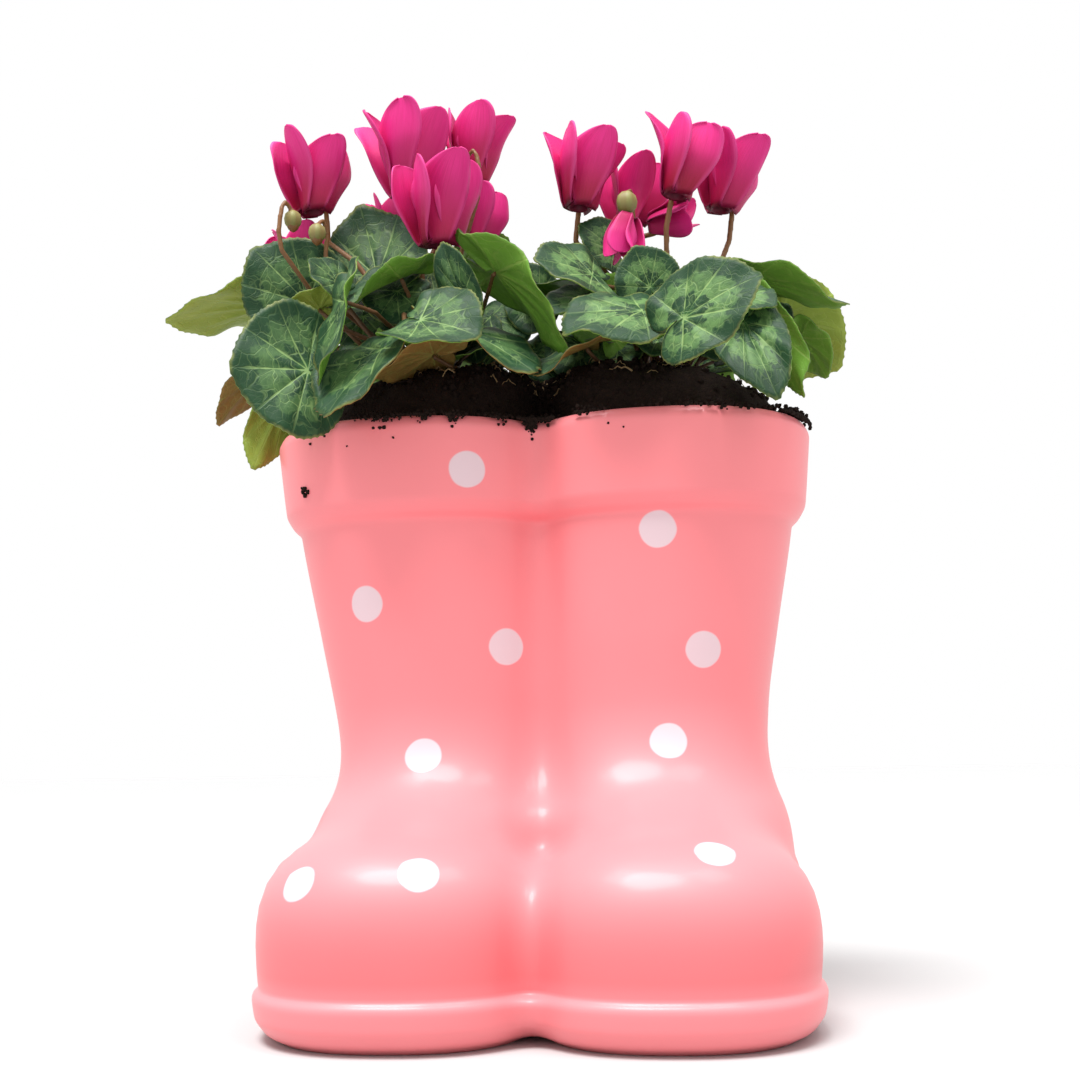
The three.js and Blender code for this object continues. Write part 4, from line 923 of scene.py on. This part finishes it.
# Blooms of each plant: mouth, top, heading of the stalk in degrees, how far the petals flare
LEFT_BLOOMS = [
    [[-95, -12, 330], [-97, -12, 362], 60, 0.5],
    [[-104, 6, 303], [-107, 6, 330], 100, 0.4],
    [[-56, -6, 338], [-57, -8, 375], 80, 0.45],
    [[-31, 14, 349], [-30, 14, 382], 90, 0.35],
    [[-39, -32, 306], [-39, -36, 342], 110, 0.3],
    [[-28, 0, 316], [-27, 2, 342], 90, 0.3],
    [[-67, 16, 318], [-65, 18, 346], 90, 0.3],
]
RIGHT_BLOOMS = [
    [[17, -12, 326], [20, -12, 359], 110, 0.45],
    [[37, 6, 324], [39, 8, 354], 90, 0.5],
    [[37, -22, 318], [35, -24, 299], 90, 0],
    [[57, -14, 328], [63, -14, 360], 120, 0.35],
    [[76, -6, 326], [81, -6, 358], 60, 0.5],
    [[46, 4, 326], [66, -2, 328], 90, 0.4],
]
BLOOMS = named("bloom", 1, LEFT_BLOOMS, RIGHT_BLOOMS)


def seeded_draws(seed):
    """Draws of 0 to 1, the same as the CAD model's."""
    state = seed * 7919 + 17
    while True:
        state = state * 16807 % 2147483647
        yield state % 10000 / 10000


def bloom_axes(mouth, top):
    """Two directions square to a bloom's own, and its own, each as long as the bloom's scale."""
    up = np.array(top, float) - np.array(mouth, float)
    size = np.linalg.norm(up) / PETAL_SPAN
    up = unit(up)
    lying = abs(up[2]) < 0.5
    first = unit(np.cross(up, [0, 0, 1]) if lying else np.cross([0, 1, 0], up))
    return size * np.array([first, np.cross(up, first), up])


def petal_points(petal, share, across, ruffle=0.0, curl=0.0):
    """Points in the middle of a petal along its bloom's axes: as drawn, or without a ruffle the CAD's."""
    heading, flare, length = petal
    rows = ROUND_PETAL_ROWS if ruffle else PETAL_ROWS
    distance, height, half_width = np.moveaxis(read_rows(rows, share), -1, 0)
    turn = heading + PETAL_TWIST * share
    lateral = across * half_width
    aside = np.cos(heading) ** 2 * share if ruffle else 0.0
    lean = 0.4 + 0.26 * share + 0.3 * aside if ruffle else 0.45 + 0.3 * share
    spread = distance + flare * PETAL_FLARE * np.maximum(share - FLARE_START, 0) ** 1.6 - 3.5 * aside
    spread = spread + curl * (2.2 * np.sin(math.pi * share) - 7 * np.maximum(share - CURL_START, 0))
    waved = np.abs(across) ** 3 * np.sin(8 * share + 3 * across + 9 * heading) * np.sqrt(share)
    out = spread + (0.012 * curl - 0.03) * lateral**2 + ruffle * waved + lateral * np.sin(lean)
    beside = lateral * np.cos(lean)
    x = out * np.cos(turn) - beside * np.sin(turn)
    y = out * np.sin(turn) + beside * np.cos(turn)
    return np.stack([x, y, height * (1 - 0.12 * flare * share) * length], axis=-1)


def bloom_petals(bloom, index):
    """Heading, flare and length of each petal."""
    _, _, _, stalk_heading, flare = bloom
    draw = seeded_draws(index + 1)
    petals = []
    for offset in PETAL_HEADINGS:
        own_flare = flare - 0.12 + 0.3 * next(draw)
        petals.append((math.radians(stalk_heading + offset), own_flare, 0.9 + 0.1 * next(draw)))
    return petals


def bloom_place(bloom, index):
    """Where the CAD model has the bloom's mouth."""
    share, across = np.meshgrid(COARSE_STATIONS, [-1, 0, 1], indexing="ij")
    parts = [petal_points(petal, share, across) for petal in bloom_petals(bloom, index)]
    parts.append(turned(COARSE_THROAT, 8))
    return place_in_cad(bloom[0], [part.reshape(-1, 3) @ bloom_axes(*bloom[1:3]) for part in parts])


def petal_material():
    """Magenta with darker streaks, darkest at the mouth, with painted shade over each petal's lower part and
    its middle.
    """
    s = Shader("cyclamen_petal")
    share, across, chance = s.attribute("petal")
    streak = s.noise(2.6, 3, s.vector(s.times(share, 1.2), s.times(across, 16.0), s.times(chance, 10.0)))
    # Dark crimson low on each petal, bright magenta at the tip: partly the petal's own darker base, partly
    # painted shade
    pink = s.mix(s.step(share, 0.12, 0.9), (142, 8, 40), (230, 46, 136))
    # Paler towards the side edges: partly the petal's own colour, partly painted shade that leaves the middle
    # darker
    edge = s.math("ABSOLUTE", s.minus(across, 0.5))
    pink = s.mix(s.step(edge, 0.3, 0.5, 0.0, 0.4), pink, (240, 92, 168))
    pink = s.mix(s.step(streak, 0.35, 0.7, 0.0, 0.3), pink, (176, 18, 80))
    pink = s.mix(s.step(chance, 0.0, 1.0, 0.0, 0.4), pink, (206, 32, 122))
    pink = s.mix(s.step(share, 0.02, 0.16, 0.9, 0.0), pink, (98, 4, 40))
    s.set(Base_Color=pink, Roughness=0.5, Specular_IOR_Level=0.3)
    s.bump(streak, 0.25, 0.0005)
    return s.material


def make_bloom(bloom, index, material, joins):
    """The petals and the mouth of one bloom, and the join in it. Gives the place of its mouth."""
    name, mouth, top, *_ = bloom
    base = bloom_place(bloom, index)
    axes = bloom_axes(mouth, top)
    rise = np.sin(np.linspace(0, math.pi / 2, PETAL_RINGS))
    share, across = np.meshgrid(rise, np.linspace(-1, 1, PETAL_COLUMNS), indexing="ij")
    quads = grid_faces(PETAL_RINGS, PETAL_COLUMNS, False)
    number = np.arange(share.size).reshape(share.shape)
    sides = (number[0], number[1:, -1], number[-1, -2::-1], number[-2:0:-1, 0])
    edge = np.concatenate(sides).tolist()
    pile = Pile()
    for k, petal in enumerate(bloom_petals(bloom, index)):
        curl = math.sin(2.1 * k + 1.7 * index)
        grid = base + petal_points(petal, share, across, PETAL_RUFFLE, curl).reshape(-1, 3) @ axes
        chance = np.full(share.size, (0.13 * k + 0.29 * index) % 1)
        values = np.column_stack([share.reshape(-1), across.reshape(-1) / 2 + 0.5, chance])
        pile.add(*sheet(grid, quads, edge, THIN_PETAL), {"petal": np.tile(values, (2, 1))})
    rings = base + turned(THROAT, THROAT_SIDES) @ axes
    points, faces = capped(rings[1:-1], rings[0][0], rings[-1][0])
    pile.add(points, faces, {"petal": [[0.0, 0.5, 0.5]] * len(points)})
    flower = pile.piece(name + "_petals", material, "petal")
    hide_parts(name)
    joins.add(*tube([base + axes[2] * along for along in BLOOM_JOIN], BLOOM_JOIN.values(), JOIN_SIDES))
    return base


# Stalks: the CAD solid made round and joined to the blades and blooms that it carries, in metres
STALK_VOXEL = 0.0006
STALK_SMOOTHING = 6
STALK_FILL_OUT = 0.00012
# Joins below a blade and inside a bloom, in millimetres: how far along each, and the radius there
BLADE_JOIN = {2.29: 0.9, 0.9: 0.95, 0.15: 0.8}
BLOOM_JOIN = {5: 1.2, 8: 1.4, 10: 1.2}
JOIN_SIDES = 7


def stalk_material():
    """Brown stalks, darker and redder towards the soil."""
    s = Shader("cyclamen_stalk")
    brown = s.mix(s.step(s.height(), 0.25, 0.33), (74, 44, 30), (126, 80, 44))
    patchy = s.mix(s.times(s.noise(110, 3), 0.6), brown, (104, 84, 44))
    s.set(Base_Color=patchy, Roughness=0.45, Specular_IOR_Level=0.4)
    return s.material


def make_stalks(side, joins, material):
    node = f"{side}_tuber_and_stalks"
    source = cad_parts[node].data
    corners = [np.array(v.co) / MM for v in source.vertices]
    joins.add(corners, [tuple(p.vertices) for p in source.polygons])
    rough = add_object("rough_stalks", new_mesh("rough_stalks", joins.points, joins.faces))

    def modify(kind, **settings):
        made = rough.modifiers.new(kind, kind)
        for key, value in settings.items():
            setattr(made, key, value)

    modify("REMESH", mode="VOXEL", voxel_size=STALK_VOXEL)
    modify("SMOOTH", factor=0.5, iterations=STALK_SMOOTHING)
    modify("DISPLACE", strength=STALK_FILL_OUT, mid_level=0.0)
    graph = bpy.context.evaluated_depsgraph_get()
    mesh = bpy.data.meshes.new_from_object(rough.evaluated_get(graph))
    bpy.data.objects.remove(rough)
    mesh.materials.clear()
    stalks = add_piece(f"{side}_stalks", mesh, material)
    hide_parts(node)


# Closed buds and the calyx of the bloom that hangs: small ribbed balls, olive and paler on top
BUDS = [[-98, -34, 319], [-88, -34, 313], [-30, -12, 346]]
HANGING_BLOOM = "right_bloom_3"
HANGING_CALYX = 5.5
HANGING_CALYX_SIZE = 1.2
CALYX_SHAPE = [[0, -3.7], [1.9, -3.4], [3.2, -1.9], [3.6, 0.2], [3.1, 2.2], [1.8, 3.5], [0, 3.9]]
CALYX_SIDES = 30
CALYX_RIBS = 5


def calyx_material():
    s = Shader("olive_calyx")
    share, rib, _ = s.attribute("petal")
    olive = s.mix(share, (84, 88, 40), (150, 150, 92))
    olive = s.mix(s.step(rib, 0.2, 0.8, 0.5, 0.0), olive, (112, 62, 44))
    s.set(Base_Color=s.mix(s.noise(160, 2), olive, (134, 126, 66)), Roughness=0.55)
    return s.material


def make_buds(hanging_mouth):
    rib = 0.5 + 0.5 * np.cos(CALYX_RIBS * spokes(CALYX_SIDES))
    low, high = CALYX_SHAPE[0][1], CALYX_SHAPE[-1][1]
    pile = Pile()
    hanging = hanging_mouth + [0, 0, HANGING_CALYX]
    for middle, size in [*((bud, 1.0) for bud in BUDS), (hanging, HANGING_CALYX_SIZE)]:
        rings = turned(CALYX_SHAPE, CALYX_SIDES)
        rings[..., :2] *= (0.93 + 0.1 * rib)[None, :, None]
        share = (rings[1:-1, :, 2] - low) / (high - low)
        rings = rings * size + np.array(middle, float)
        side = np.column_stack([share.reshape(-1), np.tile(rib, len(share))])
        pile.add(*capped(rings[1:-1], rings[0][0], rings[-1][0]), {"petal": [*side, [0, 0.5], [1, 0.5]]})
    pile.piece("buds_and_calyx", calyx_material(), "stalk")


def aim(thing, direction):
    thing.rotation_euler = Vector(direction).to_track_quat("-Z", "Y").to_euler()


def make_studio():
    half = FLOOR_REACH / MM
    corners = [(-half, -half, 0), (half, -half, 0), (half, half, 0), (-half, half, 0)]
    mesh = new_mesh("floor", corners, [(0, 1, 2, 3)])
    pale = Shader("pale_floor")
    pale.set(Base_Color=(FLOOR_WHITE, FLOOR_WHITE, FLOOR_WHITE, 1.0), Roughness=0.8, Specular_IOR_Level=0.1)
    mesh.materials.append(pale.material)
    add_object("floor", mesh)
    world = bpy.data.worlds.new("studio")
    world.use_nodes = True
    world.node_tree.nodes["Background"].inputs[0].default_value = (1, 1, 1, 1)
    bpy.context.scene.world = world
    bpy.context.scene.view_settings.view_transform = "Standard"
    sun = bpy.data.lights.new("overhead", "SUN")
    sun.energy = SUN_STRENGTH
    sun.angle = math.radians(SUN_SOFTNESS)
    aim(add_object("overhead", sun), -Vector(SUN_FROM))
    for name, place in LAMP_PLACES.items():
        light = bpy.data.lights.new(name, "AREA")
        light.size = LAMP_SIDE
        light.energy = LAMP_POWER
        lamp = add_object(name, light)
        lamp.location = place
        aim(lamp, Vector(LAMP_AIM) - Vector(place))


def camera_view():
    data = bpy.data.cameras.new("camera")
    data.lens = CAMERA_FOCUS / PHOTO_SIDE * data.sensor_width
    data.shift_y = CAMERA_SHIFT
    camera = add_object("camera", data)
    turn = Matrix.Rotation(math.radians(CAMERA_AZIMUTH), 4, "Z")
    tilt = Matrix.Rotation(math.radians(90 + CAMERA_TILT), 4, "X")
    roll = Matrix.Rotation(math.radians(CAMERA_ROLL), 4, "Z")
    camera.matrix_world = Matrix.Translation(Vector(CAMERA_PLACE) * MM) @ turn @ tilt @ roll
    bpy.context.scene.camera = camera


make_pot()
peat = soil_material()
make_soil(peat)
make_crumbs(peat)
make_fibres()
leaf_look = leaf_material()
joins = {"left": Pile(), "right": Pile()}
for index, leaf in enumerate(LEAVES):
    make_leaf(leaf, index, leaf_look, joins[leaf[0].split("_")[0]])
petal_look = petal_material()
mouths = {}
for index, bloom in enumerate(BLOOMS):
    mouths[bloom[0]] = make_bloom(bloom, index, petal_look, joins[bloom[0].split("_")[0]])
stalk_look = stalk_material()
for side, pile in joins.items():
    make_stalks(side, pile, stalk_look)
make_buds(mouths[HANGING_BLOOM])
make_young_leaves(leaf_look, stalk_look)
make_studio()
camera_view()
